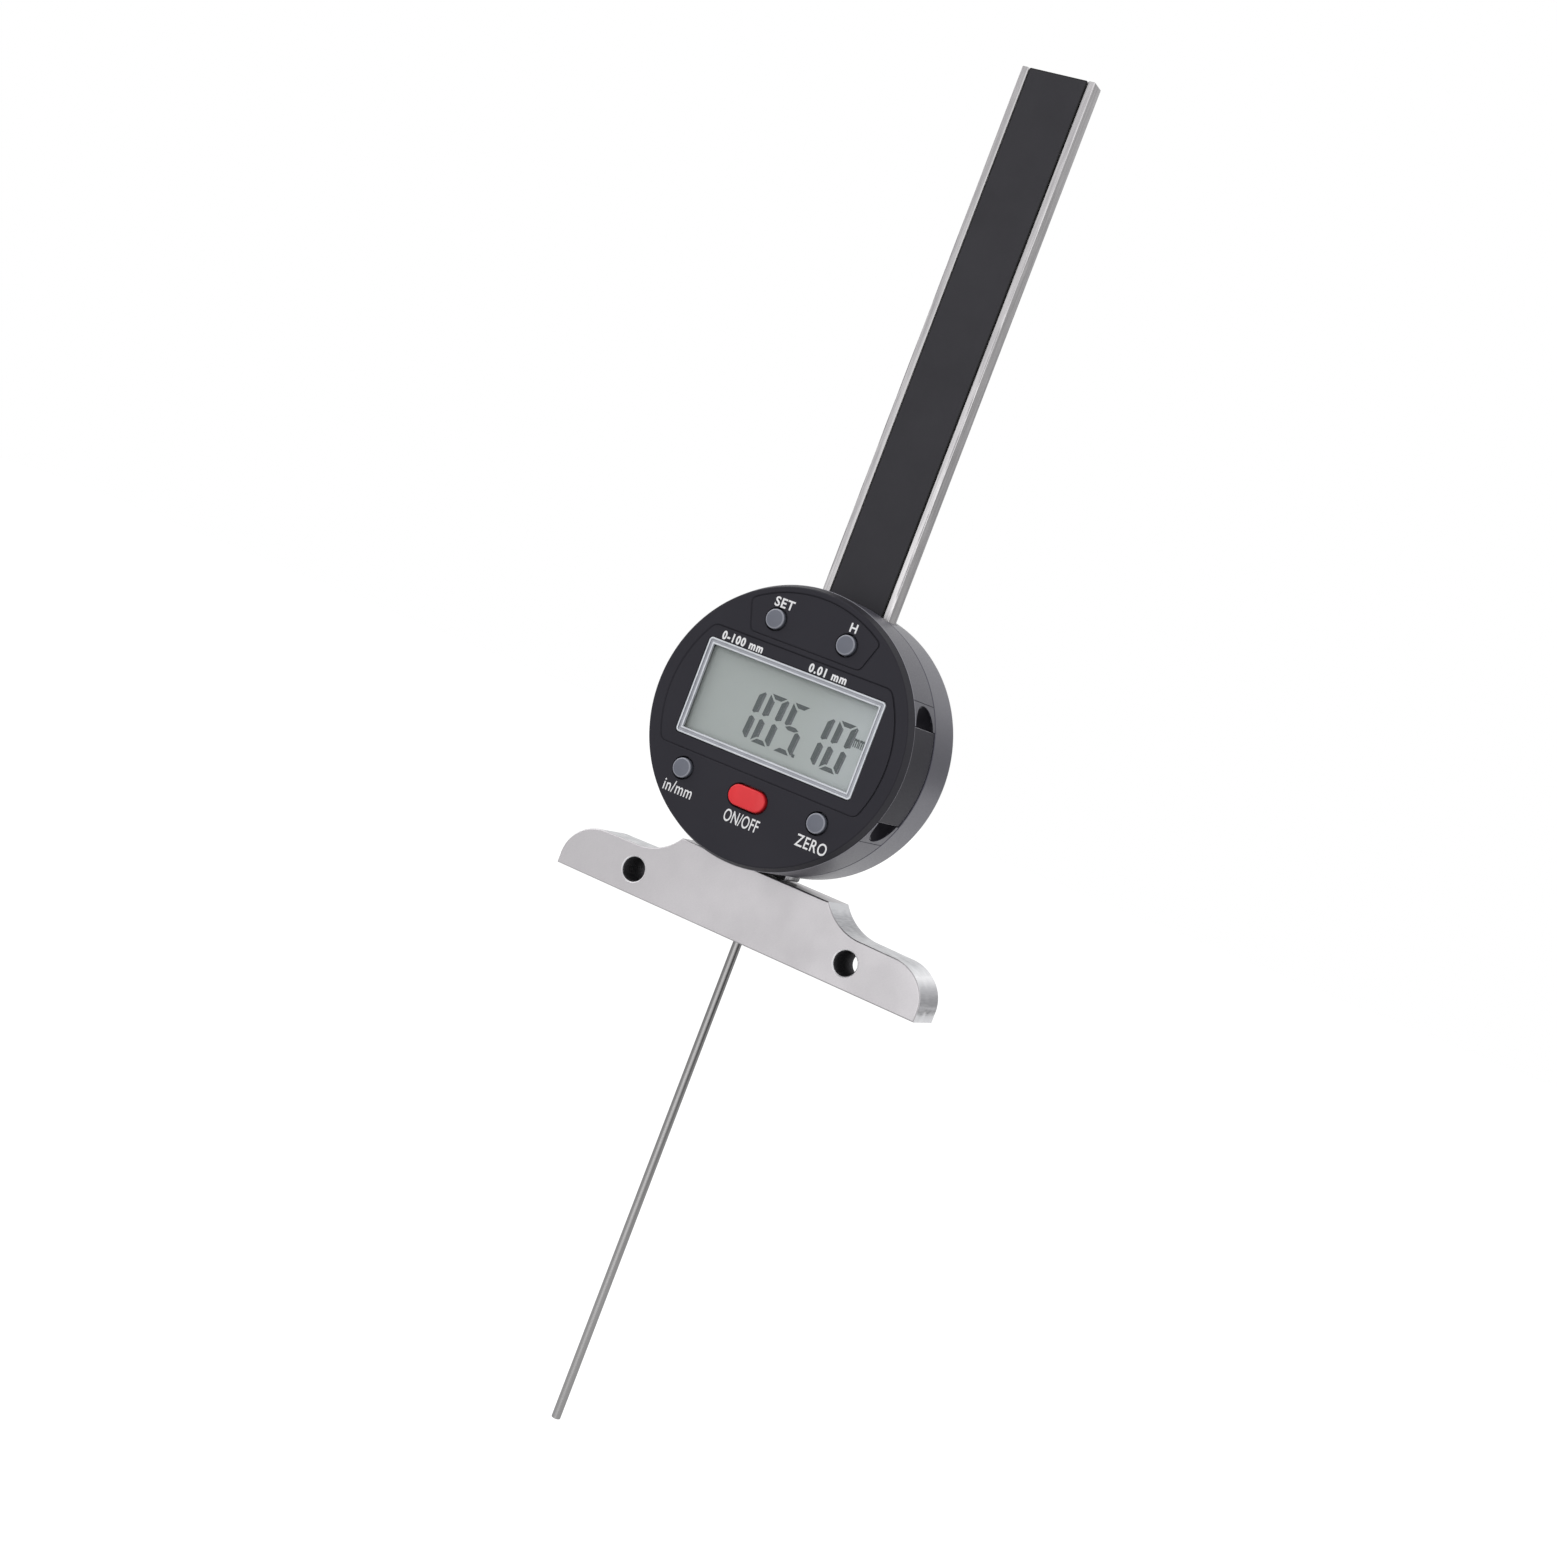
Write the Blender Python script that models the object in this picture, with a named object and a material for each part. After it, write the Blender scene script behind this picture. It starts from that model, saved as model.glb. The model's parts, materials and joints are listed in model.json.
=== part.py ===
"""Digital depth gauge: a base with a thin measuring rod, a round display head and a tall guide housing.

Metres, +Z up. The origin is on the rod's axis, in the measuring face under the base.
The display looks along -Y.
"""

import math

import bmesh
import bpy
from mathutils import Matrix, Vector

# Clearances
GAP = 0.0003
RUNNING_GAP = 0.00015
OVERRUN = 0.002
MERGE_DISTANCE = 0.0000003

# Base: long bar with a raised middle, two falling wings and two cross holes
BASE_LENGTH = 0.0856
BASE_DEPTH = 0.0105
BASE_HEIGHT = 0.0149
SHOULDER_LENGTH = 0.0350
WING_HEIGHT = 0.0100
HOLLOW_HEIGHT = 0.0101
HOLLOW_SPACING = 0.0534
TIP_CORNER_WIDTH = 0.0084
TIP_CORNER_HEIGHT = 0.0078
BASE_EDGE = 0.0004
CROSS_HOLE_RADIUS = 0.0026
CROSS_HOLE_SPACING = 0.0508
CROSS_HOLE_HEIGHT = 0.0051
CROSS_HOLE_CHAMFER = 0.0003

# Measuring rod and its two guide bushes
ROD_RADIUS = 0.00095
ROD_REACH = 0.1051
ROD_TIP_CHAMFER = 0.00015
ROD_SPIGOT_RADIUS = 0.0006
ROD_SPIGOT_LENGTH = 0.0040
BUSH_RADIUS = 0.0017
BUSH_LENGTH = 0.0055
BUSH_INSET = 0.0008

# Neck block between base and housing
NECK_WIDTH = 0.0138
NECK_BACK_Y = 0.0023
NECK_HEIGHT = 0.0118
TONGUE_HEIGHT = 0.0060
NECK_EDGE = 0.0003

# Guide housing: flat bar section with a channel in front and a rib behind for the rod
BEAM_WIDTH = 0.0160
BEAM_FRONT_Y = -0.0053
BEAM_THICKNESS = 0.0041
HOUSING_LENGTH = 0.1546
BEAM_FLOOR = 0.0008
BEAM_EDGE = 0.00025
STRIP_SEAT_WIDTH = 0.0130
STRIP_SEAT_DEPTH = 0.0009
CHANNEL_WIDTH = 0.0102
ROD_SLOT_WIDTH = 0.0042
ROD_SLOT_BACK_Y = 0.0016
RIB_SIDE = 0.0009
RIB_WALL = 0.0006

# Cover strip and scale board in the channel
STRIP_SIDE_GAP = 0.0002
STRIP_THICKNESS = 0.0005
STRIP_SINK = 0.0001
STRIP_RISE = 0.0226
SCALE_BOARD_THICKNESS = 0.0005

# Carriage inside the housing
CARRIAGE_LENGTH = 0.0360
CARRIAGE_THICKNESS = 0.0013
CARRIAGE_FOOT_LENGTH = 0.0080
SPRING_ROOM = 0.0009
SPRING_THICKNESS = 0.0002
SPRING_BOW = 0.0004
SPRING_LENGTH = 0.0240
SPRING_HEIGHT = 0.0008
TARGET_WIDTH = 0.0072
TARGET_LENGTH = 0.0240
TARGET_THICKNESS = 0.0003
SET_SCREW_RADIUS = 0.00045
BUMPER_LENGTH = 0.0030
PLUG_LENGTH = 0.0030
PLUG_SCREW_RADIUS = 0.0006

# Display head: two round shells that meet at a parting line
HEAD_RADIUS = 0.0281
HEAD_LIFT = 0.0004
FACE_Y = -0.0198
PARTING_Y = -0.0069
BACK_Y = 0.0041
HEAD_WALL = 0.0018
FACE_THICKNESS = 0.0024
BACK_THICKNESS = 0.0013
RIM_CHAMFER = 0.0005
BACK_ROUND = 0.0010
PARTING_GAP = 0.0003

# Screws of the head: four for the shells, four that hold the shell to neck and housing
BOSS_RADIUS = 0.0023
COVER_SCREW_RADIUS = 0.0009
COVER_SCREW_HEAD = 0.0019
COVER_SCREW_LENGTH = 0.0160
COVER_BOSS_INSET = 0.0031
COVER_BOSS_ANGLES = (48.0, 132.0, 240.0, 300.0)
BODY_SCREW_RADIUS = 0.0007
BODY_SCREW_HEAD = 0.0015
BODY_SCREW_LENGTH = 0.0076
BODY_BOSS_RADIUS = 0.0019
NECK_SCREW_SPACING = 0.0098
NECK_SCREW_DROP = 0.0035
HOUSING_SCREW_SPACING = 0.0130
HOUSING_SCREW_RISE = 0.0176
BASE_SCREW_RADIUS = 0.0010
BASE_SCREW_HEAD = 0.0020
BASE_SCREW_HEAD_HEIGHT = 0.0016
BASE_SCREW_LENGTH = 0.0188
BASE_SCREW_INSET = 0.0006
BASE_SCREW_SPACING = 0.0098

# Display: frame, lens, glass panel and its contact strips
FRAME_WIDTH = 0.0402
FRAME_HEIGHT = 0.0198
FRAME_RISE = 0.0020
FRAME_BORDER = 0.0013
FRAME_CORNER = 0.0008
FRAME_PROUD = 0.0001
FRAME_THICKNESS = 0.0007
LENS_THICKNESS = 0.0006
OPENING_BORDER = 0.0005
GLASS_SIDE_MARGIN = 0.0005
GLASS_TOP_MARGIN = 0.0005
GLASS_THICKNESS = 0.0020
CONTACT_STRIP_LENGTH = 0.0360
CONTACT_STRIP_WIDTH = 0.0014
CONTACT_STRIP_MARGIN = 0.0003
CONTACT_ARM_GAP = 0.0004

# Circuit board and what it carries
BOARD_MARGIN = 0.0017
BOARD_THICKNESS = 0.0012
CONTACT_STRIP_ROOM = 0.0028
BOARD_SCREW_RADIUS = 0.0007
BOARD_SCREW_HEAD = 0.0014
BOARD_SCREW_HEAD_HEIGHT = 0.0008
BOARD_SCREW_LENGTH = 0.0040
STANDOFF_RADIUS = 0.0016
STANDOFF_INSET = 0.0047
STANDOFF_ANGLES = (90.0, 270.0)
SIDE_STANDOFF_INSET = 0.0037
CHIP_SIZE = 0.0070
CHIP_HEIGHT = 0.0012
CHIP_OFFSET = 0.0130
LINK_WIDTH = 0.0080
LINK_HEIGHT = 0.0030
LINK_LIFT = 0.0012

# Push buttons and their switches
BUTTON_RADIUS = 0.0020
BUTTON_PROUD = 0.0008
BUTTON_CROWN_INSET = 0.0006
BUTTON_EDGE_INSET = 0.00015
BUTTON_EDGE_DEPTH = 0.00045
BUTTON_HOLE_GAP = 0.0003
BUTTON_FLANGE = 0.0008
BUTTON_FLANGE_THICKNESS = 0.0006
BUTTON_STEM_LENGTH = 0.0021
BUTTON_STEM_SHRINK = 0.0008
BUTTON_TRAVEL = 0.0006
POWER_BUTTON_LENGTH = 0.0082
POWER_BUTTON_WIDTH = 0.0042
TOP_BUTTON_SPACING = 0.0160
TOP_BUTTON_RISE = 0.0194
LOW_BUTTON_SPACING = 0.0310
LOW_BUTTON_DROP = 0.0142
POWER_BUTTON_DROP = 0.0149
SWITCH_SIZE = 0.0034
SWITCH_LEAD_GAP = 0.0001

# Battery tray in the right side of the front shell, its cell and contacts
WINDOW_INSET = 0.0021
WINDOW_HALF_HEIGHT = 0.0143
TRAY_HALF_HEIGHT = 0.0098
TRAY_FACE_SINK = 0.0002
TRAY_BACK_GAP = 0.0001
NOTCH_HALF_WIDTH = 0.0046
NOTCH_HEIGHT = 0.0042
NOTCH_DEPTH = 0.0037
NOTCH_WALL = 0.0008
PLUG_FRAME_CLEARANCE = 0.0018
TRAY_ARM_WALL = 0.0006
TRAY_FLOOR = 0.0005
CELL_RADIUS = 0.0058
CELL_THICKNESS = 0.0054
CELL_INSET = 0.0095
TRAY_TRAVEL = 0.0180
CONTACT_THICKNESS = 0.0003
CONTACT_WIDTH = 0.0024
CONTACT_RISE = 0.0032
CONTACT_SLOT_GAP = 0.0004

# Fineness of round shapes
HEAD_STEPS = 72
MEDIUM_STEPS = 32
SMALL_STEPS = 20
ARC_STEPS = 10
SMOOTH_ANGLE = math.radians(35.0)

# Places worked out from the sizes above
BEAM_BACK_Y = BEAM_FRONT_Y + BEAM_THICKNESS
CHANNEL_FLOOR_Y = BEAM_BACK_Y - BEAM_FLOOR
LEDGE_Y = BEAM_FRONT_Y + STRIP_SEAT_DEPTH
STRIP_FRONT_Y = BEAM_FRONT_Y + STRIP_SINK
STRIP_BACK_Y = STRIP_FRONT_Y + STRIP_THICKNESS
SCALE_FRONT_Y = STRIP_BACK_Y + GAP
SCALE_BACK_Y = SCALE_FRONT_Y + SCALE_BOARD_THICKNESS
CARRIAGE_BACK_Y = CHANNEL_FLOOR_Y - GAP
CARRIAGE_FRONT_Y = CARRIAGE_BACK_Y - CARRIAGE_THICKNESS
RIB_BACK_Y = ROD_SLOT_BACK_Y + RIB_WALL
NECK_BOTTOM = BASE_HEIGHT + GAP
NECK_TOP = NECK_BOTTOM + NECK_HEIGHT
NECK_SCREW_HEIGHT = NECK_TOP - NECK_SCREW_DROP
RIB_WIDTH = ROD_SLOT_WIDTH + 2 * RIB_SIDE
TONGUE_TOP = NECK_TOP + TONGUE_HEIGHT
HOUSING_BOTTOM = NECK_TOP + GAP
BEAM_TOP = HOUSING_BOTTOM + HOUSING_LENGTH
BUMPER_BOTTOM = TONGUE_TOP + GAP
CARRIAGE_BOTTOM = BUMPER_BOTTOM + BUMPER_LENGTH + GAP
CARRIAGE_TOP = CARRIAGE_BOTTOM + CARRIAGE_LENGTH
PLUG_TOP = BEAM_TOP - GAP
PLUG_BOTTOM = PLUG_TOP - PLUG_LENGTH
FACE_BACK_Y = FACE_Y + FACE_THICKNESS
BACK_INNER_Y = BACK_Y - BACK_THICKNESS
HEAD_INNER_RADIUS = HEAD_RADIUS - HEAD_WALL
HEAD_HEIGHT = BASE_HEIGHT + HEAD_LIFT + HEAD_RADIUS
STRIP_BOTTOM = HEAD_HEIGHT + STRIP_RISE
HOUSING_SCREW_HEIGHT = HEAD_HEIGHT + HOUSING_SCREW_RISE
FRAME_CENTRE = HEAD_HEIGHT + FRAME_RISE
COVER_BOSS_CIRCLE = HEAD_INNER_RADIUS - COVER_BOSS_INSET
STANDOFF_CIRCLE = HEAD_INNER_RADIUS - STANDOFF_INSET
SIDE_STANDOFF_CIRCLE = HEAD_INNER_RADIUS - SIDE_STANDOFF_INSET
BOARD_RADIUS = HEAD_INNER_RADIUS - BOARD_MARGIN
FRONT_SHELL_END_Y = PARTING_Y - PARTING_GAP / 2
REAR_SHELL_END_Y = PARTING_Y + PARTING_GAP / 2
FRAME_FRONT_Y = FACE_Y - FRAME_PROUD
FRAME_BACK_Y = FRAME_FRONT_Y + FRAME_THICKNESS
LENS_FRONT_Y = FRAME_BACK_Y + GAP
LENS_BACK_Y = LENS_FRONT_Y + LENS_THICKNESS
LENS_SEAT_Y = LENS_BACK_Y + GAP
GLASS_FRONT_Y = FACE_BACK_Y + GAP
GLASS_BACK_Y = GLASS_FRONT_Y + GLASS_THICKNESS
BOARD_FRONT_Y = GLASS_BACK_Y + CONTACT_STRIP_ROOM
BOARD_BACK_Y = BOARD_FRONT_Y + BOARD_THICKNESS
FLANGE_FRONT_Y = FACE_BACK_Y + GAP
FLANGE_BACK_Y = FLANGE_FRONT_Y + BUTTON_FLANGE_THICKNESS
STEM_BACK_Y = FLANGE_BACK_Y + BUTTON_STEM_LENGTH
SWITCH_FRONT_Y = STEM_BACK_Y + BUTTON_TRAVEL + SWITCH_LEAD_GAP
WINDOW_FRONT_Y = FACE_Y + WINDOW_INSET
TRAY_BACK_Y = FRONT_SHELL_END_Y - TRAY_BACK_GAP
TRAY_ARM_FRONT_Y = GLASS_BACK_Y + GAP
CELL_X = HEAD_RADIUS - CELL_INSET
CELL_FRONT_Y = TRAY_ARM_FRONT_Y + TRAY_FLOOR + GAP
CELL_BACK_Y = CELL_FRONT_Y + CELL_THICKNESS
ARM_HALF_HEIGHT = CELL_RADIUS + GAP + TRAY_ARM_WALL
ARM_INNER_X = CELL_X - ARM_HALF_HEIGHT
PLUG_INNER_X = FRAME_WIDTH / 2 + PLUG_FRAME_CLEARANCE
BOARD_NOTCH_X = ARM_INNER_X - GAP

# Colours and finishes: sRGB hex, roughness, metallic
FINISHES = {
    "stainless_steel": ("C4C2C4", 0.35, 1.0),
    "polished_steel": ("A8A6A4", 0.25, 1.0),
    "bronze": ("A9834F", 0.40, 1.0),
    "screw_steel": ("8E8E90", 0.35, 1.0),
    "black_strip": ("3A393D", 0.50, 0.0),
    "charcoal_shell": ("37363A", 0.55, 0.0),
    "grey_shell": ("5A595E", 0.50, 0.0),
    "silver_frame": ("C9C8CE", 0.35, 0.0),
    "clear_lens": ("EDF1F0", 0.05, 0.0),
    "display_glass": ("A3A9A5", 0.20, 0.0),
    "grey_button": ("6F727C", 0.40, 0.0),
    "red_button": ("E7343C", 0.40, 0.0),
    "board_green": ("2F6B4A", 0.60, 0.0),
    "chip_black": ("1C1C1E", 0.60, 0.0),
    "rubber_black": ("222224", 0.80, 0.0),
    "white_nylon": ("D8D6CE", 0.60, 0.0),
    "spring_steel": ("B8B4A8", 0.30, 1.0),
}


def clear_scene():
    for thing in list(bpy.data.objects):
        bpy.data.objects.remove(thing, do_unlink=True)


def linear(channel):
    if channel <= 0.04045:
        return channel / 12.92
    return ((channel + 0.055) / 1.055) ** 2.4


def finish(name):
    """Principled material of one finish, made once."""
    if name in bpy.data.materials:
        return bpy.data.materials[name]
    colour, roughness, metallic = FINISHES[name]
    red, green, blue = (linear(int(colour[i:i + 2], 16) / 255) for i in (0, 2, 4))
    material = bpy.data.materials.new(name)
    material.use_nodes = True
    shader = material.node_tree.nodes["Principled BSDF"]
    shader.inputs["Base Color"].default_value = (red, green, blue, 1.0)
    shader.inputs["Roughness"].default_value = roughness
    shader.inputs["Metallic"].default_value = metallic
    material.diffuse_color = (red, green, blue, 1.0)
    return material


# Outlines: lists of (u, v) points in order round a shape

def arc(centre, radius_u, radius_v, start, end, steps=ARC_STEPS):
    """Points of an elliptical arc between two angles in degrees."""
    turns = [math.radians(start + (end - start) * i / steps) for i in range(steps + 1)]
    return [(centre[0] + radius_u * math.cos(t), centre[1] + radius_v * math.sin(t)) for t in turns]


def rectangle(low_u, high_u, low_v, high_v):
    return [(low_u, low_v), (high_u, low_v), (high_u, high_v), (low_u, high_v)]


def rounded_rectangle(width, height, corner, centre=(0.0, 0.0), steps=4):
    """Rectangle whose four corners are quarter circles."""
    points = []
    for side_u, side_v, start in ((1, -1, -90), (1, 1, 0), (-1, 1, 90), (-1, -1, 180)):
        middle = (centre[0] + side_u * (width / 2 - corner), centre[1] + side_v * (height / 2 - corner))
        points += arc(middle, corner, corner, start, start + 90, steps)
    return points


def stadium(length, width, centre=(0.0, 0.0), steps=ARC_STEPS):
    """Two half circles joined by straight sides, long along u."""
    reach = (length - width) / 2
    right = arc((centre[0] + reach, centre[1]), width / 2, width / 2, -90, 90, steps)
    left = arc((centre[0] - reach, centre[1]), width / 2, width / 2, 90, 270, steps)
    return right + left


def circle(radius, centre=(0.0, 0.0), steps=SMALL_STEPS):
    return arc(centre, radius, radius, 0, 360 - 360 / steps, steps - 1)


# Closed bodies as bmesh data

AXES = {
    "X": Matrix(((0, 0, 1), (1, 0, 0), (0, 1, 0))),
    "Y": Matrix(((1, 0, 0), (0, 0, 1), (0, 1, 0))),
    "Z": Matrix(((1, 0, 0), (0, 1, 0), (0, 0, 1))),
}


def along(axis, u, v, w):
    """World point of outline point (u, v) at height w: X takes (y, z), Y takes (x, z), Z takes (x, y)."""
    return AXES[axis] @ Vector((u, v, w))


def prism(outline, low, high, axis):
    """Outline carried straight along an axis from low to high."""
    body = bmesh.new()
    face = body.faces.new([body.verts.new(along(axis, u, v, low)) for u, v in outline])
    pushed = bmesh.ops.extrude_face_region(body, geom=[face])
    top = [item for item in pushed["geom"] if isinstance(item, bmesh.types.BMVert)]
    bmesh.ops.translate(body, verts=top, vec=along(axis, 0, 0, high - low))
    bmesh.ops.recalc_face_normals(body, faces=body.faces)
    return body


def box(low, high):
    """Block between two corners."""
    return prism(rectangle(low[0], high[0], low[1], high[1]), low[2], high[2], "Z")


def skin(rings):
    """Closed body through rings of equally many points, flat at both ends."""
    body = bmesh.new()
    rows = [[body.verts.new(point) for point in ring] for ring in rings]
    count = len(rows[0])
    for one, two in zip(rows, rows[1:]):
        for i in range(count):
            j = (i + 1) % count
            body.faces.new((one[i], one[j], two[j], two[i]))
    body.faces.new(rows[0])
    body.faces.new(rows[-1])
    bmesh.ops.recalc_face_normals(body, faces=body.faces)
    return body


def turned(profile, centre, axis, steps=MEDIUM_STEPS, closed=False):
    """Profile of (radius, height) points spun round an axis through centre, an (u, v) place across it."""
    body = bmesh.new()
    spots = [body.verts.new(along(axis, centre[0] + radius, centre[1], height)) for radius, height in profile]
    pairs = list(zip(spots, spots[1:]))
    if closed:
        pairs.append((spots[-1], spots[0]))
    edges = [body.edges.new(pair) for pair in pairs]
    middle = along(axis, centre[0], centre[1], 0)
    direction = along(axis, 0, 0, 1)
    bmesh.ops.spin(body, geom=spots + edges, cent=middle, axis=direction, angle=math.tau, steps=steps,
                   use_merge=True)
    bmesh.ops.remove_doubles(body, verts=body.verts, dist=MERGE_DISTANCE)
    bmesh.ops.recalc_face_normals(body, faces=body.faces)
    return body


def rod_body(radius, low, high, centre, axis, steps=SMALL_STEPS):
    """Plain round bar between two heights on its axis."""
    return turned([(0, low), (radius, low), (radius, high), (0, high)], centre, axis, steps)


def ring_body(outer, inner, low, high, centre, axis, steps=MEDIUM_STEPS):
    """Bush or washer with a round bore."""
    profile = [(inner, low), (outer, low), (outer, high), (inner, high)]
    return turned(profile, centre, axis, steps, closed=True)


# Objects

def solid(name, body, material):
    """Object with the body's mesh, shaded smooth but for its sharp edges."""
    mesh = bpy.data.meshes.new(name)
    body.to_mesh(mesh)
    body.free()
    mesh.shade_smooth()
    mesh.set_sharp_from_angle(angle=SMOOTH_ANGLE)
    thing = bpy.data.objects.new(name, mesh)
    bpy.context.scene.collection.objects.link(thing)
    if material:
        thing.data.materials.append(finish(material))
    return thing


def copies(name, body, material, places):
    """The same piece at several places, as numbered objects that share one mesh."""
    first = solid(name + "_1", body, material)
    first.location = places[0]
    for number, place in enumerate(places[1:], 2):
        twin = bpy.data.objects.new(name + "_" + str(number), first.data)
        twin.location = place
        bpy.context.scene.collection.objects.link(twin)


def shape(thing, steps):
    """Adds and cuts bodies in order. Each step is a Boolean operation's name and a body."""
    for operation, body in steps:
        tool = solid("tool", body, None)
        modifier = thing.modifiers.new(operation.title(), "BOOLEAN")
        modifier.operation = operation
        modifier.solver = "EXACT"
        modifier.object = tool
        bake(thing)
        mesh = tool.data
        bpy.data.objects.remove(tool, do_unlink=True)
        bpy.data.meshes.remove(mesh)
    return thing


def bake(thing):
    """Makes the evaluated shape the object's own mesh, with coinciding points merged."""
    bpy.context.view_layer.update()
    seen = thing.evaluated_get(bpy.context.evaluated_depsgraph_get())
    mesh = bpy.data.meshes.new_from_object(seen)
    body = bmesh.new()
    body.from_mesh(mesh)
    bmesh.ops.remove_doubles(body, verts=body.verts, dist=MERGE_DISTANCE)
    bmesh.ops.dissolve_degenerate(body, edges=body.edges, dist=MERGE_DISTANCE)
    body.to_mesh(mesh)
    body.free()
    old = thing.data
    thing.modifiers.clear()
    thing.data = mesh
    bpy.data.meshes.remove(old)
    mesh.name = thing.name
    mesh.shade_smooth()
    mesh.set_sharp_from_angle(angle=SMOOTH_ANGLE)


def bevelled(thing, width, segments=1, angle=40.0):
    """Rounds or chamfers the object's sharp edges."""
    modifier = thing.modifiers.new("Edges", "BEVEL")
    modifier.width = width
    modifier.segments = segments
    modifier.limit_method = "ANGLE"
    modifier.angle_limit = math.radians(angle)
    modifier.harden_normals = False
    return thing


def carried(things, name, origin):
    """Parents the pieces of one moving body to an empty on its joint's axis."""
    holder = bpy.data.objects.new(name, None)
    bpy.context.scene.collection.objects.link(holder)
    holder.location = origin
    for thing in things:
        thing.parent = holder
        thing.matrix_parent_inverse = Matrix.Translation(origin).inverted()
    return holder


def head_spot(circle_radius, angle):
    """(x, z) place on a circle about the head's centre."""
    turn = math.radians(angle)
    return circle_radius * math.cos(turn), HEAD_HEIGHT + circle_radius * math.sin(turn)


def countersunk(radius, head_radius, length, spot, clearance):
    """Countersunk screw whose head is flush with the back, or its hole when it has a clearance."""
    cone = head_radius - radius
    outer = head_radius + clearance
    shank = radius + clearance
    top = BACK_Y + (OVERRUN if clearance else 0.0)
    end = BACK_Y - length - clearance
    profile = [(0, end), (shank, end), (shank, BACK_Y - cone - clearance), (outer, BACK_Y - clearance),
               (outer, top), (0, top)]
    return turned(profile, spot, "Y", SMALL_STEPS)


def cover_screw_shape(spot, clearance=0.0):
    return countersunk(COVER_SCREW_RADIUS, COVER_SCREW_HEAD, COVER_SCREW_LENGTH, spot, clearance)


def body_screw_shape(spot, clearance=0.0):
    return countersunk(BODY_SCREW_RADIUS, BODY_SCREW_HEAD, BODY_SCREW_LENGTH, spot, clearance)


def neck_screw_spots():
    return [(side * NECK_SCREW_SPACING / 2, NECK_SCREW_HEIGHT) for side in (-1, 1)]


def housing_screw_spots():
    return [(side * HOUSING_SCREW_SPACING / 2, HOUSING_SCREW_HEIGHT) for side in (-1, 1)]


# Base and rod

def wing_outline():
    """Right half of the base's outline as (x, z), from the bottom's middle round to the top's middle."""
    half = BASE_LENGTH / 2
    shoulder = SHOULDER_LENGTH / 2
    hollow = HOLLOW_SPACING / 2
    crown_x = half - TIP_CORNER_WIDTH
    points = [(half, 0)]
    points += arc((crown_x, WING_HEIGHT - TIP_CORNER_HEIGHT), TIP_CORNER_WIDTH, TIP_CORNER_HEIGHT, 0, 90)
    for i in range(1, ARC_STEPS // 2):
        way = 2 * i / ARC_STEPS
        ease = (1 - math.cos(math.pi * way)) / 2
        x = crown_x + (hollow - crown_x) * way
        points.append((x, WING_HEIGHT + (HOLLOW_HEIGHT - WING_HEIGHT) * ease))
    run = hollow - shoulder
    rise = BASE_HEIGHT - HOLLOW_HEIGHT
    radius = (run ** 2 + rise ** 2) / (2 * rise)
    sweep = math.degrees(math.asin(run / radius))
    points += arc((hollow, HOLLOW_HEIGHT + radius), radius, radius, -90, -90 - sweep)
    return points


def make_base():
    right = wing_outline()
    left = [(-x, z) for x, z in reversed(right)]
    base = solid("base", prism(right + left, -BASE_DEPTH / 2, BASE_DEPTH / 2, "Y"), "stainless_steel")
    bevelled(base, BASE_EDGE, angle=60.0)
    cuts = []
    for side in (-1, 1):
        spot = (side * CROSS_HOLE_SPACING / 2, CROSS_HOLE_HEIGHT)
        wide = CROSS_HOLE_RADIUS + CROSS_HOLE_CHAMFER + OVERRUN
        face = BASE_DEPTH / 2
        inner = face - CROSS_HOLE_CHAMFER
        outer = face + OVERRUN
        profile = [(0, -outer), (wide, -outer), (CROSS_HOLE_RADIUS, -inner), (CROSS_HOLE_RADIUS, inner),
                   (wide, outer), (0, outer)]
        cuts.append(("DIFFERENCE", turned(profile, spot, "Y", MEDIUM_STEPS)))
    bore = BUSH_RADIUS + GAP
    bush_end = BUSH_INSET + BUSH_LENGTH + GAP
    passage = ROD_RADIUS + GAP
    profile = [(0, -OVERRUN), (bore, -OVERRUN), (bore, bush_end), (passage, bush_end),
               (passage, BASE_HEIGHT + OVERRUN), (0, BASE_HEIGHT + OVERRUN)]
    cuts.append(("DIFFERENCE", turned(profile, (0, 0), "Z", SMALL_STEPS)))
    cuts += [("DIFFERENCE", base_screw_shape(spot, GAP)) for spot in base_screw_spots()]
    return shape(base, cuts)


def base_screw_spots():
    return [(side * BASE_SCREW_SPACING / 2, (BEAM_FRONT_Y + NECK_BACK_Y) / 2) for side in (-1, 1)]


def base_screw_shape(spot, clearance=0.0):
    """Screw that holds the neck to the base from below, or its hole when it has a clearance."""
    low = -OVERRUN if clearance else BASE_SCREW_INSET
    shoulder = BASE_SCREW_INSET + BASE_SCREW_HEAD_HEIGHT + clearance
    end = BASE_SCREW_INSET + BASE_SCREW_LENGTH + clearance
    head = BASE_SCREW_HEAD + clearance
    shank = BASE_SCREW_RADIUS + clearance
    profile = [(0, low), (head, low), (head, shoulder), (shank, shoulder), (shank, end), (0, end)]
    return turned(profile, spot, "Z", SMALL_STEPS)


def make_base_screws():
    copies("base_screw", base_screw_shape((0, 0)), "screw_steel", [(x, y, 0) for x, y in base_screw_spots()])


def make_bushes():
    """Two bronze bushes that guide the rod: one in the base's face, one in the neck's top."""
    bore = ROD_RADIUS + RUNNING_GAP
    top = NECK_TOP - GAP
    places = (("lower_bush", BUSH_INSET), ("upper_bush", top - BUSH_LENGTH))
    for name, low in places:
        solid(name, ring_body(BUSH_RADIUS, bore, low, low + BUSH_LENGTH, (0, 0), "Z", SMALL_STEPS), "bronze")


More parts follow.
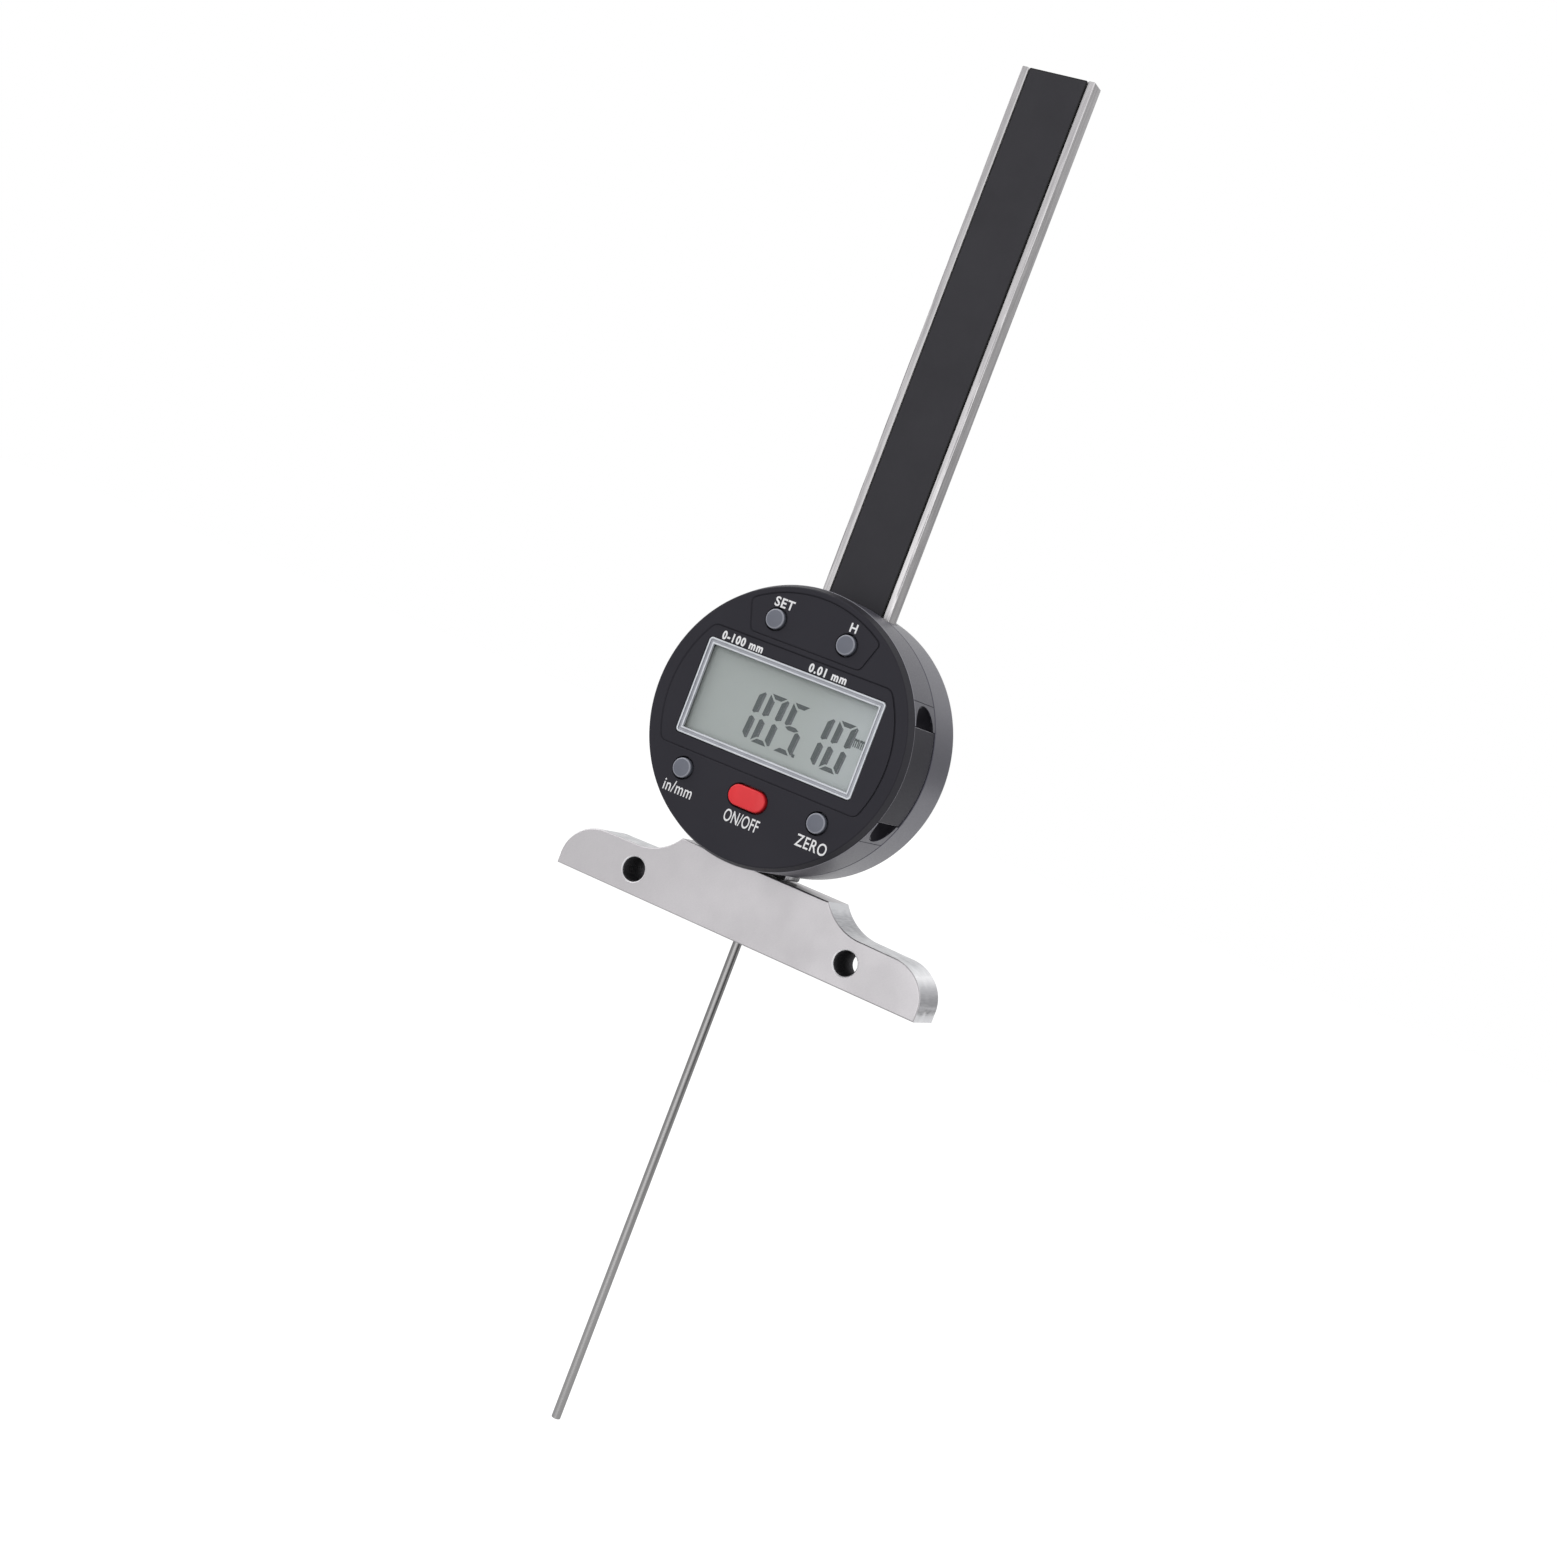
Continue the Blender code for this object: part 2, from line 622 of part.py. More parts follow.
def make_neck():
    """Block on the base that carries the housing and the rear shell, with a tongue up into the channel."""
    half = NECK_WIDTH / 2
    neck = solid("neck_block", box((-half, BEAM_FRONT_Y, NECK_BOTTOM), (half, NECK_BACK_Y, NECK_TOP)),
                 "stainless_steel")
    bevelled(neck, NECK_EDGE)
    tongue_half = CHANNEL_WIDTH / 2 - GAP
    tongue = box((-tongue_half, LEDGE_Y + GAP, NECK_TOP - OVERRUN),
                 (tongue_half, CARRIAGE_BACK_Y, TONGUE_TOP))
    bore = BUSH_RADIUS + GAP
    seat = NECK_TOP - GAP - BUSH_LENGTH - GAP
    passage = ROD_RADIUS + GAP
    profile = [(0, NECK_BOTTOM - OVERRUN), (passage, NECK_BOTTOM - OVERRUN), (passage, seat), (bore, seat),
               (bore, NECK_TOP + OVERRUN), (0, NECK_TOP + OVERRUN)]
    steps = [("UNION", tongue), ("DIFFERENCE", turned(profile, (0, 0), "Z", SMALL_STEPS))]
    steps += [("DIFFERENCE", base_screw_shape(spot, GAP)) for spot in base_screw_spots()]
    steps += [("DIFFERENCE", body_screw_shape(spot, GAP)) for spot in neck_screw_spots()]
    return shape(neck, steps)


def make_rod():
    """Thin rod with a spigot on top that the carriage's foot holds."""
    top = CARRIAGE_BOTTOM - GAP
    tip = -ROD_REACH
    profile = [(0, tip), (ROD_RADIUS - ROD_TIP_CHAMFER, tip), (ROD_RADIUS, tip + ROD_TIP_CHAMFER),
               (ROD_RADIUS, top), (ROD_SPIGOT_RADIUS, top), (ROD_SPIGOT_RADIUS, top + ROD_SPIGOT_LENGTH),
               (0, top + ROD_SPIGOT_LENGTH)]
    return solid("measuring_rod", turned(profile, (0, 0), "Z", SMALL_STEPS), "polished_steel")


# Housing and what slides in it

def housing_outline():
    """Section of the housing as (x, y): a bar with a stepped channel in front and a slotted rib behind."""
    half = BEAM_WIDTH / 2
    seat = STRIP_SEAT_WIDTH / 2
    channel = CHANNEL_WIDTH / 2
    slot = ROD_SLOT_WIDTH / 2
    rib = RIB_WIDTH / 2
    edge = half - BEAM_EDGE
    right = [(slot, ROD_SLOT_BACK_Y), (slot, CHANNEL_FLOOR_Y), (channel, CHANNEL_FLOOR_Y),
             (channel, LEDGE_Y), (seat, LEDGE_Y), (seat, BEAM_FRONT_Y), (edge, BEAM_FRONT_Y),
             (half, BEAM_FRONT_Y + BEAM_EDGE), (half, BEAM_BACK_Y - BEAM_EDGE), (edge, BEAM_BACK_Y),
             (rib, BEAM_BACK_Y), (rib, RIB_BACK_Y)]
    left = [(-x, y) for x, y in reversed(right)]
    return right + left


def make_housing():
    bar = prism(housing_outline(), HOUSING_BOTTOM, BEAM_TOP, "Z")
    housing = solid("guide_housing", bar, "stainless_steel")
    cuts = [("DIFFERENCE", body_screw_shape(spot, GAP)) for spot in housing_screw_spots()]
    hole = PLUG_SCREW_RADIUS + GAP
    spot = (0, (PLUG_BOTTOM + PLUG_TOP) / 2)
    cuts.append(("DIFFERENCE", rod_body(hole, ROD_SLOT_BACK_Y - GAP, RIB_BACK_Y + OVERRUN, spot, "Y")))
    return shape(housing, cuts)


def make_strip_and_scale():
    """Black strip let into the housing's front, and the scale board under it."""
    half = STRIP_SEAT_WIDTH / 2 - STRIP_SIDE_GAP
    strip = box((-half, STRIP_FRONT_Y, STRIP_BOTTOM), (half, STRIP_BACK_Y, BEAM_TOP))
    solid("cover_strip", strip, "black_strip")
    half = CHANNEL_WIDTH / 2 - GAP
    board = box((-half, SCALE_FRONT_Y, BUMPER_BOTTOM), (half, SCALE_BACK_Y, PLUG_TOP))
    solid("scale_board", board, "board_green")


def make_stops():
    """Rubber bumper under the carriage, and the plug with its screw that closes the channel's top."""
    half = CHANNEL_WIDTH / 2 - GAP
    foot = ROD_SLOT_WIDTH / 2 - GAP
    solid("stop_bumper", box((-half, CARRIAGE_FRONT_Y, BUMPER_BOTTOM),
                             (half, CARRIAGE_BACK_Y, BUMPER_BOTTOM + BUMPER_LENGTH)), "rubber_black")
    outline = [(-half, CARRIAGE_FRONT_Y), (half, CARRIAGE_FRONT_Y), (half, CARRIAGE_BACK_Y),
               (foot, CARRIAGE_BACK_Y), (foot, ROD_SLOT_BACK_Y - GAP), (-foot, ROD_SLOT_BACK_Y - GAP),
               (-foot, CARRIAGE_BACK_Y), (-half, CARRIAGE_BACK_Y)]
    plug = solid("end_plug", prism(outline, PLUG_BOTTOM, PLUG_TOP, "Z"), "rubber_black")
    spot = (0, (PLUG_BOTTOM + PLUG_TOP) / 2)
    end = CARRIAGE_BACK_Y
    shape(plug, [("DIFFERENCE", rod_body(PLUG_SCREW_RADIUS + GAP, end, RIB_BACK_Y, spot, "Y"))])
    solid("end_plug_screw", rod_body(PLUG_SCREW_RADIUS, end + GAP, RIB_BACK_Y, spot, "Y"), "screw_steel")


def make_carriage():
    """Sliding plate in the channel, with a foot through the slot that holds the rod's spigot."""
    half = CHANNEL_WIDTH / 2 - GAP
    foot = ROD_SLOT_WIDTH / 2 - GAP
    right = half - SPRING_ROOM
    plate = box((-half, CARRIAGE_FRONT_Y, CARRIAGE_BOTTOM), (right, CARRIAGE_BACK_Y, CARRIAGE_TOP))
    carriage = solid("carriage", plate, "white_nylon")
    foot_top = CARRIAGE_BOTTOM + CARRIAGE_FOOT_LENGTH
    foot_body = box((-foot, CARRIAGE_BACK_Y - CARRIAGE_THICKNESS / 2, CARRIAGE_BOTTOM),
                    (foot, ROD_SLOT_BACK_Y - GAP, foot_top))
    socket_top = CARRIAGE_BOTTOM + ROD_SPIGOT_LENGTH
    socket = rod_body(ROD_SPIGOT_RADIUS + GAP, CARRIAGE_BOTTOM - OVERRUN, socket_top, (0, 0), "Z")
    screw_height = CARRIAGE_BOTTOM + ROD_SPIGOT_LENGTH / 2
    screw_hole = rod_body(SET_SCREW_RADIUS + GAP / 2, 0, foot + OVERRUN, (0, screw_height), "X")
    target_half = TARGET_WIDTH / 2
    target_bottom = CARRIAGE_TOP - TARGET_LENGTH
    recess = box((-target_half - GAP, CARRIAGE_FRONT_Y - OVERRUN, target_bottom - GAP),
                 (target_half + GAP, CARRIAGE_FRONT_Y + TARGET_THICKNESS + GAP, CARRIAGE_TOP + OVERRUN))
    shape(carriage, [("UNION", foot_body), ("DIFFERENCE", socket), ("DIFFERENCE", screw_hole),
                     ("DIFFERENCE", recess)])
    target_back = CARRIAGE_FRONT_Y + TARGET_THICKNESS
    target = solid("target_plate", box((-target_half, CARRIAGE_FRONT_Y, target_bottom),
                                       (target_half, target_back, CARRIAGE_TOP)), "polished_steel")
    grub = rod_body(SET_SCREW_RADIUS, ROD_SPIGOT_RADIUS + GAP, foot, (0, screw_height), "X")
    grub = solid("rod_set_screw", grub, "screw_steel")
    spring = make_carriage_spring(right)
    return [carriage, target, grub, spring]


def make_carriage_spring(side_x):
    """Leaf spring bowed between the carriage's side and the channel's wall."""
    low = (CARRIAGE_BOTTOM + CARRIAGE_TOP - SPRING_LENGTH) / 2
    inner = []
    outer = []
    for i in range(ARC_STEPS + 1):
        way = i / ARC_STEPS
        bow = SPRING_BOW * math.sin(math.pi * way)
        z = low + SPRING_LENGTH * way
        inner.append((side_x + GAP + bow, z))
        outer.append((side_x + GAP + SPRING_THICKNESS + bow, z))
    back = CARRIAGE_BACK_Y - GAP
    leaf = prism(inner + outer[::-1], back - SPRING_HEIGHT, back, "Y")
    return solid("carriage_spring", leaf, "spring_steel")


# Head shells

def cover_spots():
    return [head_spot(COVER_BOSS_CIRCLE, angle) for angle in COVER_BOSS_ANGLES]


def standoff_spots():
    spots = [head_spot(STANDOFF_CIRCLE, angle) for angle in STANDOFF_ANGLES]
    return spots + [(-SIDE_STANDOFF_CIRCLE, HEAD_HEIGHT)]


def body_screw_spots():
    return neck_screw_spots() + housing_screw_spots()


def buttons():
    """Name, colour, place, length and width of each button."""
    size = 2 * BUTTON_RADIUS
    high = HEAD_HEIGHT + TOP_BUTTON_RISE
    low = HEAD_HEIGHT - LOW_BUTTON_DROP
    power = HEAD_HEIGHT - POWER_BUTTON_DROP
    return [
        ("set_button", "grey_button", (-TOP_BUTTON_SPACING / 2, high), size, size),
        ("hold_button", "grey_button", (TOP_BUTTON_SPACING / 2, high), size, size),
        ("unit_button", "grey_button", (-LOW_BUTTON_SPACING / 2, low), size, size),
        ("zero_button", "grey_button", (LOW_BUTTON_SPACING / 2, low), size, size),
        ("power_button", "red_button", (0.0, power), POWER_BUTTON_LENGTH, POWER_BUTTON_WIDTH),
    ]


def notch_outline(side):
    """Arched finger notch beyond one end of the tray, as (y, z), open towards the tray."""
    middle_y = WINDOW_FRONT_Y + NOTCH_HALF_WIDTH + GAP
    seam = HEAD_HEIGHT + side * TRAY_HALF_HEIGHT
    arch = arc((middle_y, seam), NOTCH_HALF_WIDTH, side * NOTCH_HEIGHT, 0, 180)
    inside = seam - side * OVERRUN
    return arch + [(middle_y - NOTCH_HALF_WIDTH, inside), (middle_y + NOTCH_HALF_WIDTH, inside)]


def notch_wall(side):
    """Curved floor behind one notch, a slice of a ring about the head's axis."""
    inner = HEAD_RADIUS - NOTCH_DEPTH - NOTCH_WALL
    outer = HEAD_RADIUS - NOTCH_DEPTH
    start = math.degrees(math.asin((TRAY_HALF_HEIGHT + GAP) / inner))
    end = math.degrees(math.asin((WINDOW_HALF_HEIGHT + HEAD_WALL) / HEAD_RADIUS))
    angles = (start, end) if side > 0 else (-end, -start)
    centre = (0, HEAD_HEIGHT)
    outline = arc(centre, outer, outer, *angles) + arc(centre, inner, inner, *reversed(angles))
    return outline


def make_front_cover():
    rim = HEAD_RADIUS - RIM_CHAMFER
    profile = [(0, FACE_Y), (rim, FACE_Y), (HEAD_RADIUS, FACE_Y + RIM_CHAMFER),
               (HEAD_RADIUS, FRONT_SHELL_END_Y), (HEAD_INNER_RADIUS, FRONT_SHELL_END_Y),
               (HEAD_INNER_RADIUS, FACE_BACK_Y), (0, FACE_BACK_Y)]
    centre = (0, HEAD_HEIGHT)
    cover = solid("front_cover", turned(profile, centre, "Y", HEAD_STEPS), "charcoal_shell")
    steps = []
    for spot in cover_spots():
        steps.append(("UNION", rod_body(BOSS_RADIUS, FACE_BACK_Y - GAP, FRONT_SHELL_END_Y, spot, "Y")))
    for spot in standoff_spots():
        steps.append(("UNION", rod_body(STANDOFF_RADIUS, FACE_BACK_Y - GAP, BOARD_FRONT_Y - GAP, spot, "Y")))
    hole = COVER_SCREW_RADIUS + GAP
    end = BACK_Y - COVER_SCREW_LENGTH - GAP
    for spot in cover_spots():
        steps.append(("DIFFERENCE", rod_body(hole, end, PARTING_Y + OVERRUN, spot, "Y")))
    hole = BOARD_SCREW_RADIUS + GAP
    end = BOARD_BACK_Y - BOARD_SCREW_LENGTH
    for spot in standoff_spots():
        steps.append(("DIFFERENCE", rod_body(hole, end, BOARD_FRONT_Y, spot, "Y")))
    frame_spot = (0, FRAME_CENTRE)
    seat = rounded_rectangle(FRAME_WIDTH + 2 * GAP, FRAME_HEIGHT + 2 * GAP, FRAME_CORNER + GAP, frame_spot)
    steps.append(("DIFFERENCE", prism(seat, FACE_Y - OVERRUN, LENS_SEAT_Y, "Y")))
    opening = rounded_rectangle(FRAME_WIDTH - 2 * OPENING_BORDER, FRAME_HEIGHT - 2 * OPENING_BORDER,
                                FRAME_CORNER, frame_spot)
    steps.append(("DIFFERENCE", prism(opening, FACE_Y, FACE_BACK_Y + OVERRUN, "Y")))
    for name, colour, spot, length, width in buttons():
        hole = stadium(length + 2 * BUTTON_HOLE_GAP, width + 2 * BUTTON_HOLE_GAP, spot)
        steps.append(("DIFFERENCE", prism(hole, FACE_Y - OVERRUN, FACE_BACK_Y + OVERRUN, "Y")))
    window_x = PLUG_INNER_X - GAP
    window = rectangle(WINDOW_FRONT_Y, PARTING_Y + OVERRUN, HEAD_HEIGHT - TRAY_HALF_HEIGHT,
                       HEAD_HEIGHT + TRAY_HALF_HEIGHT)
    steps.append(("DIFFERENCE", prism(window, window_x, HEAD_RADIUS + OVERRUN, "X")))
    for side in (-1, 1):
        steps.append(("DIFFERENCE", prism(notch_outline(side), window_x, HEAD_RADIUS + OVERRUN, "X")))
    for side in (-1, 1):
        steps.append(("UNION", prism(notch_wall(side), FACE_BACK_Y - GAP, FRONT_SHELL_END_Y, "Y")))
    return shape(cover, steps)


def make_rear_cover():
    rounded = arc((HEAD_RADIUS - BACK_ROUND, BACK_Y - BACK_ROUND), BACK_ROUND, BACK_ROUND, 0, 90, 3)
    profile = [(0, BACK_INNER_Y), (HEAD_INNER_RADIUS, BACK_INNER_Y), (HEAD_INNER_RADIUS, REAR_SHELL_END_Y),
               (HEAD_RADIUS, REAR_SHELL_END_Y)] + rounded + [(0, BACK_Y)]
    cover = solid("rear_cover", turned(profile, (0, HEAD_HEIGHT), "Y", HEAD_STEPS), "grey_shell")
    steps = []
    for spot in cover_spots():
        steps.append(("UNION", rod_body(BOSS_RADIUS, REAR_SHELL_END_Y, BACK_INNER_Y + GAP, spot, "Y")))
    for spot in housing_screw_spots():
        steps.append(("UNION", rod_body(BODY_BOSS_RADIUS, BEAM_BACK_Y + GAP, BACK_INNER_Y + GAP, spot, "Y")))
    beam_half = BEAM_WIDTH / 2 + GAP
    neck_half = NECK_WIDTH / 2 + GAP
    top = HEAD_HEIGHT + HEAD_RADIUS + OVERRUN
    bottom = HEAD_HEIGHT - HEAD_RADIUS - OVERRUN
    inner = HEAD_INNER_RADIUS * math.cos(math.asin(beam_half / HEAD_INNER_RADIUS))
    steps.append(("DIFFERENCE", box((-beam_half, PARTING_Y - OVERRUN, HEAD_HEIGHT + inner - OVERRUN),
                                    (beam_half, BEAM_BACK_Y + GAP, top))))
    rib_half = RIB_WIDTH / 2 + GAP
    steps.append(("DIFFERENCE", box((-rib_half, BEAM_BACK_Y, HEAD_HEIGHT + inner - OVERRUN),
                                    (rib_half, RIB_BACK_Y + GAP, top))))
    inner = HEAD_INNER_RADIUS * math.cos(math.asin(neck_half / HEAD_INNER_RADIUS))
    steps.append(("DIFFERENCE", box((-neck_half, PARTING_Y - OVERRUN, bottom),
                                    (neck_half, NECK_BACK_Y + GAP, HEAD_HEIGHT - inner + OVERRUN))))
    steps += [("DIFFERENCE", cover_screw_shape(spot, GAP)) for spot in cover_spots()]
    steps += [("DIFFERENCE", body_screw_shape(spot, GAP)) for spot in body_screw_spots()]
    return shape(cover, steps)


def make_head_screws():
    copies("cover_screw", cover_screw_shape((0, 0)), "screw_steel", [(x, 0, z) for x, z in cover_spots()])
    copies("body_screw", body_screw_shape((0, 0)), "screw_steel", [(x, 0, z) for x, z in body_screw_spots()])


# Display and circuit

def make_display():
    """Frame, lens, and the display panel whose front sheet stands forward into the opening."""
    spot = (0, FRAME_CENTRE)
    outer = rounded_rectangle(FRAME_WIDTH, FRAME_HEIGHT, FRAME_CORNER, spot)
    inner = rounded_rectangle(FRAME_WIDTH - 2 * FRAME_BORDER, FRAME_HEIGHT - 2 * FRAME_BORDER,
                              FRAME_CORNER / 2, spot)
    frame = solid("display_frame", prism(outer, FRAME_FRONT_Y, FRAME_BACK_Y, "Y"), "silver_frame")
    shape(frame, [("DIFFERENCE", prism(inner, FRAME_FRONT_Y - OVERRUN, FRAME_BACK_Y + OVERRUN, "Y"))])
    solid("display_lens", prism(outer, LENS_FRONT_Y, LENS_BACK_Y, "Y"), "clear_lens")
    strip_low = HEAD_HEIGHT - ARM_HALF_HEIGHT - CONTACT_ARM_GAP - CONTACT_STRIP_WIDTH
    low = strip_low - CONTACT_STRIP_MARGIN
    high = FRAME_CENTRE + FRAME_HEIGHT / 2 + GLASS_TOP_MARGIN
    half = FRAME_WIDTH / 2 - GLASS_SIDE_MARGIN
    glass = box((-half, GLASS_FRONT_Y, low), (half, GLASS_BACK_Y, high))
    panel = solid("display_panel", glass, "display_glass")
    sheet_edge = OPENING_BORDER + GAP
    sheet = rounded_rectangle(FRAME_WIDTH - 2 * sheet_edge, FRAME_HEIGHT - 2 * sheet_edge, FRAME_CORNER, spot)
    shape(panel, [("UNION", prism(sheet, LENS_SEAT_Y, (GLASS_FRONT_Y + GLASS_BACK_Y) / 2, "Y"))])
    strip = box((-CONTACT_STRIP_LENGTH / 2, GLASS_BACK_Y + GAP, 0),
                (CONTACT_STRIP_LENGTH / 2, BOARD_FRONT_Y - GAP, CONTACT_STRIP_WIDTH))
    heights = (strip_low, high - CONTACT_STRIP_MARGIN - CONTACT_STRIP_WIDTH)
    copies("contact_strip", strip, "rubber_black", [(0, 0, z) for z in heights])


def make_board():
    centre = (0, HEAD_HEIGHT)
    disc = rod_body(BOARD_RADIUS, BOARD_FRONT_Y, BOARD_BACK_Y, centre, "Y", HEAD_STEPS)
    board = solid("circuit_board", disc, "board_green")
    steps = []
    front = BOARD_FRONT_Y - OVERRUN
    back = BOARD_BACK_Y + OVERRUN
    for spot in cover_spots():
        steps.append(("DIFFERENCE", rod_body(BOSS_RADIUS + GAP, front, back, spot, "Y")))
    for spot in standoff_spots():
        steps.append(("DIFFERENCE", rod_body(BOARD_SCREW_RADIUS + GAP, front, back, spot, "Y")))
    arm_half = ARM_HALF_HEIGHT + GAP
    plug_half = TRAY_HALF_HEIGHT + GAP
    plug_x = PLUG_INNER_X - GAP
    far = BOARD_RADIUS + OVERRUN
    tray_cut = [(BOARD_NOTCH_X, -arm_half), (plug_x, -arm_half), (plug_x, -plug_half), (far, -plug_half),
                (far, plug_half), (plug_x, plug_half), (plug_x, arm_half), (BOARD_NOTCH_X, arm_half)]
    lifted = [(x, HEAD_HEIGHT + z) for x, z in tray_cut]
    steps.append(("DIFFERENCE", prism(lifted, front, back, "Y")))
    inner = HEAD_RADIUS - NOTCH_DEPTH - NOTCH_WALL - GAP
    start = math.degrees(math.asin(TRAY_HALF_HEIGHT / HEAD_RADIUS))
    end = math.degrees(math.asin((WINDOW_HALF_HEIGHT + HEAD_WALL + GAP) / HEAD_RADIUS))
    for angles in ((start, end), (-end, -start)):
        outline = arc(centre, far, far, *angles) + arc(centre, inner, inner, *reversed(angles))
        steps.append(("DIFFERENCE", prism(outline, front, back, "Y")))
    shape(board, steps)
    seat = BOARD_BACK_Y + GAP
    half = CHIP_SIZE / 2
    chip = box((-CHIP_OFFSET - half, seat, HEAD_HEIGHT - half),
               (-CHIP_OFFSET + half, seat + CHIP_HEIGHT, HEAD_HEIGHT + half))
    solid("controller_chip", chip, "chip_black")
    low = BUMPER_BOTTOM + LINK_LIFT
    link = box((-LINK_WIDTH / 2, seat, low), (LINK_WIDTH / 2, SCALE_FRONT_Y - GAP, low + LINK_HEIGHT))
    solid("link_connector", link, "chip_black")
    top = seat + BOARD_SCREW_HEAD_HEIGHT
    end = seat - BOARD_SCREW_LENGTH
    profile = [(0, end), (BOARD_SCREW_RADIUS, end), (BOARD_SCREW_RADIUS, seat), (BOARD_SCREW_HEAD, seat),
               (BOARD_SCREW_HEAD, top), (0, top)]
    copies("board_screw", turned(profile, (0, 0), "Y", SMALL_STEPS), "screw_steel",
           [(x, 0, z) for x, z in standoff_spots()])


def make_buttons():
    """Domed caps with a flange behind the face and a stem that reaches towards a switch on the board."""
    half = SWITCH_SIZE / 2
    switch = box((-half, SWITCH_FRONT_Y, -half), (half, BOARD_FRONT_Y - GAP, half))
    copies("button_switch", switch, "chip_black", [(spot[0], 0, spot[1]) for _, _, spot, _, _ in buttons()])
    for name, colour, spot, length, width in buttons():
        dome_y = FACE_Y - BUTTON_PROUD
        levels = [(-BUTTON_CROWN_INSET, dome_y), (-BUTTON_EDGE_INSET, dome_y + BUTTON_EDGE_INSET),
                  (0.0, dome_y + BUTTON_EDGE_DEPTH), (0.0, FLANGE_FRONT_Y), (BUTTON_FLANGE, FLANGE_FRONT_Y),
                  (BUTTON_FLANGE, FLANGE_BACK_Y), (-BUTTON_STEM_SHRINK, FLANGE_BACK_Y),
                  (-BUTTON_STEM_SHRINK, STEM_BACK_Y)]
        rings = []
        for grow, y in levels:
            outline = stadium(length + 2 * grow, width + 2 * grow, spot)
            if length == width:
                outline = circle(width / 2 + grow, spot, MEDIUM_STEPS)
            rings.append([along("Y", u, v, y) for u, v in outline])
        thing = solid(name, skin(rings), colour)
        carried([thing], name + "_axis", Vector((spot[0], FACE_Y, spot[1])))


# Battery

def make_battery():
    """Tray whose curved end closes the window, the cell that lies in it, and two spring contacts."""
    plug_half = TRAY_HALF_HEIGHT - GAP
    front = WINDOW_FRONT_Y + GAP
    plug_outline = rectangle(front, TRAY_BACK_Y, HEAD_HEIGHT - plug_half, HEAD_HEIGHT + plug_half)
    tray = solid("battery_tray", prism(plug_outline, PLUG_INNER_X, HEAD_RADIUS, "X"), "charcoal_shell")
    arm = box((ARM_INNER_X, TRAY_ARM_FRONT_Y, HEAD_HEIGHT - ARM_HALF_HEIGHT),
              (PLUG_INNER_X + OVERRUN, TRAY_BACK_Y, HEAD_HEIGHT + ARM_HALF_HEIGHT))
    reach = HEAD_RADIUS - TRAY_FACE_SINK
    centre = (0, HEAD_HEIGHT)
    round_face = rod_body(reach, WINDOW_FRONT_Y - OVERRUN, TRAY_BACK_Y + OVERRUN, centre, "Y", HEAD_STEPS)
    spot = (CELL_X, HEAD_HEIGHT)
    floor = TRAY_ARM_FRONT_Y + TRAY_FLOOR
    well = rod_body(CELL_RADIUS + GAP, floor, TRAY_BACK_Y + OVERRUN, spot, "Y", MEDIUM_STEPS)
    slot_half = CONTACT_WIDTH / 2 + CONTACT_SLOT_GAP
    middle_y = (CELL_FRONT_Y + CELL_BACK_Y) / 2
    side_slot = box((ARM_INNER_X - OVERRUN, middle_y - CONTACT_WIDTH / 2, HEAD_HEIGHT - slot_half),
                    (CELL_X - CELL_RADIUS, middle_y + CONTACT_WIDTH, HEAD_HEIGHT + slot_half))
    face_height = HEAD_HEIGHT + CONTACT_RISE
    face_slot = box((ARM_INNER_X - OVERRUN, CELL_BACK_Y, face_height - slot_half),
                    (CELL_X, TRAY_BACK_Y + OVERRUN, face_height + slot_half))
    shape(tray, [("UNION", arm), ("INTERSECT", round_face), ("DIFFERENCE", well), ("DIFFERENCE", side_slot),
                 ("DIFFERENCE", face_slot)])
    cell = solid("battery_cell", rod_body(CELL_RADIUS, CELL_FRONT_Y, CELL_BACK_Y, spot, "Y", MEDIUM_STEPS),
                 "polished_steel")
    seat = BOARD_BACK_Y + GAP
    thick = CONTACT_THICKNESS
    tip_x = CELL_X - CELL_RADIUS - GAP
    foot_x = BOARD_NOTCH_X - CONTACT_WIDTH
    front = middle_y - CONTACT_WIDTH / 2 + GAP
    side_outline = [(foot_x, seat), (tip_x - thick, seat), (tip_x - thick, front), (tip_x, front),
                    (tip_x, seat + thick), (foot_x, seat + thick)]
    half = CONTACT_WIDTH / 2
    side_contact = prism(side_outline, HEAD_HEIGHT - half, HEAD_HEIGHT + half, "Z")
    solid("battery_side_contact", side_contact, "spring_steel")
    dip = CELL_BACK_Y + GAP
    rise_x = BOARD_NOTCH_X - GAP - thick
    face_outline = [(foot_x, seat), (rise_x, seat), (rise_x, dip), (CELL_X, dip), (CELL_X, dip + thick),
                    (rise_x - thick, dip + thick), (rise_x - thick, seat + thick), (foot_x, seat + thick)]
    face_contact = prism(face_outline, face_height - half, face_height + half, "Z")
    solid("battery_face_contact", face_contact, "spring_steel")
    return [tray, cell]


def main():
    clear_scene()
    make_base()
    make_base_screws()
    make_bushes()
    make_neck()
    make_housing()
    make_strip_and_scale()
    make_stops()
    carried([make_rod()] + make_carriage(), "rod_axis", Vector((0, 0, 0)))
    make_front_cover()
    make_rear_cover()
    make_head_screws()
    make_display()
    make_board()
    make_buttons()
    tray_axis = Vector((HEAD_RADIUS, (WINDOW_FRONT_Y + TRAY_BACK_Y) / 2, HEAD_HEIGHT))
    carried(make_battery(), "tray_axis", tray_axis)


main()
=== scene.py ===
"""Studio picture of the digital depth gauge: fine surfaces, finishes, printed marks, lights and camera."""

import math

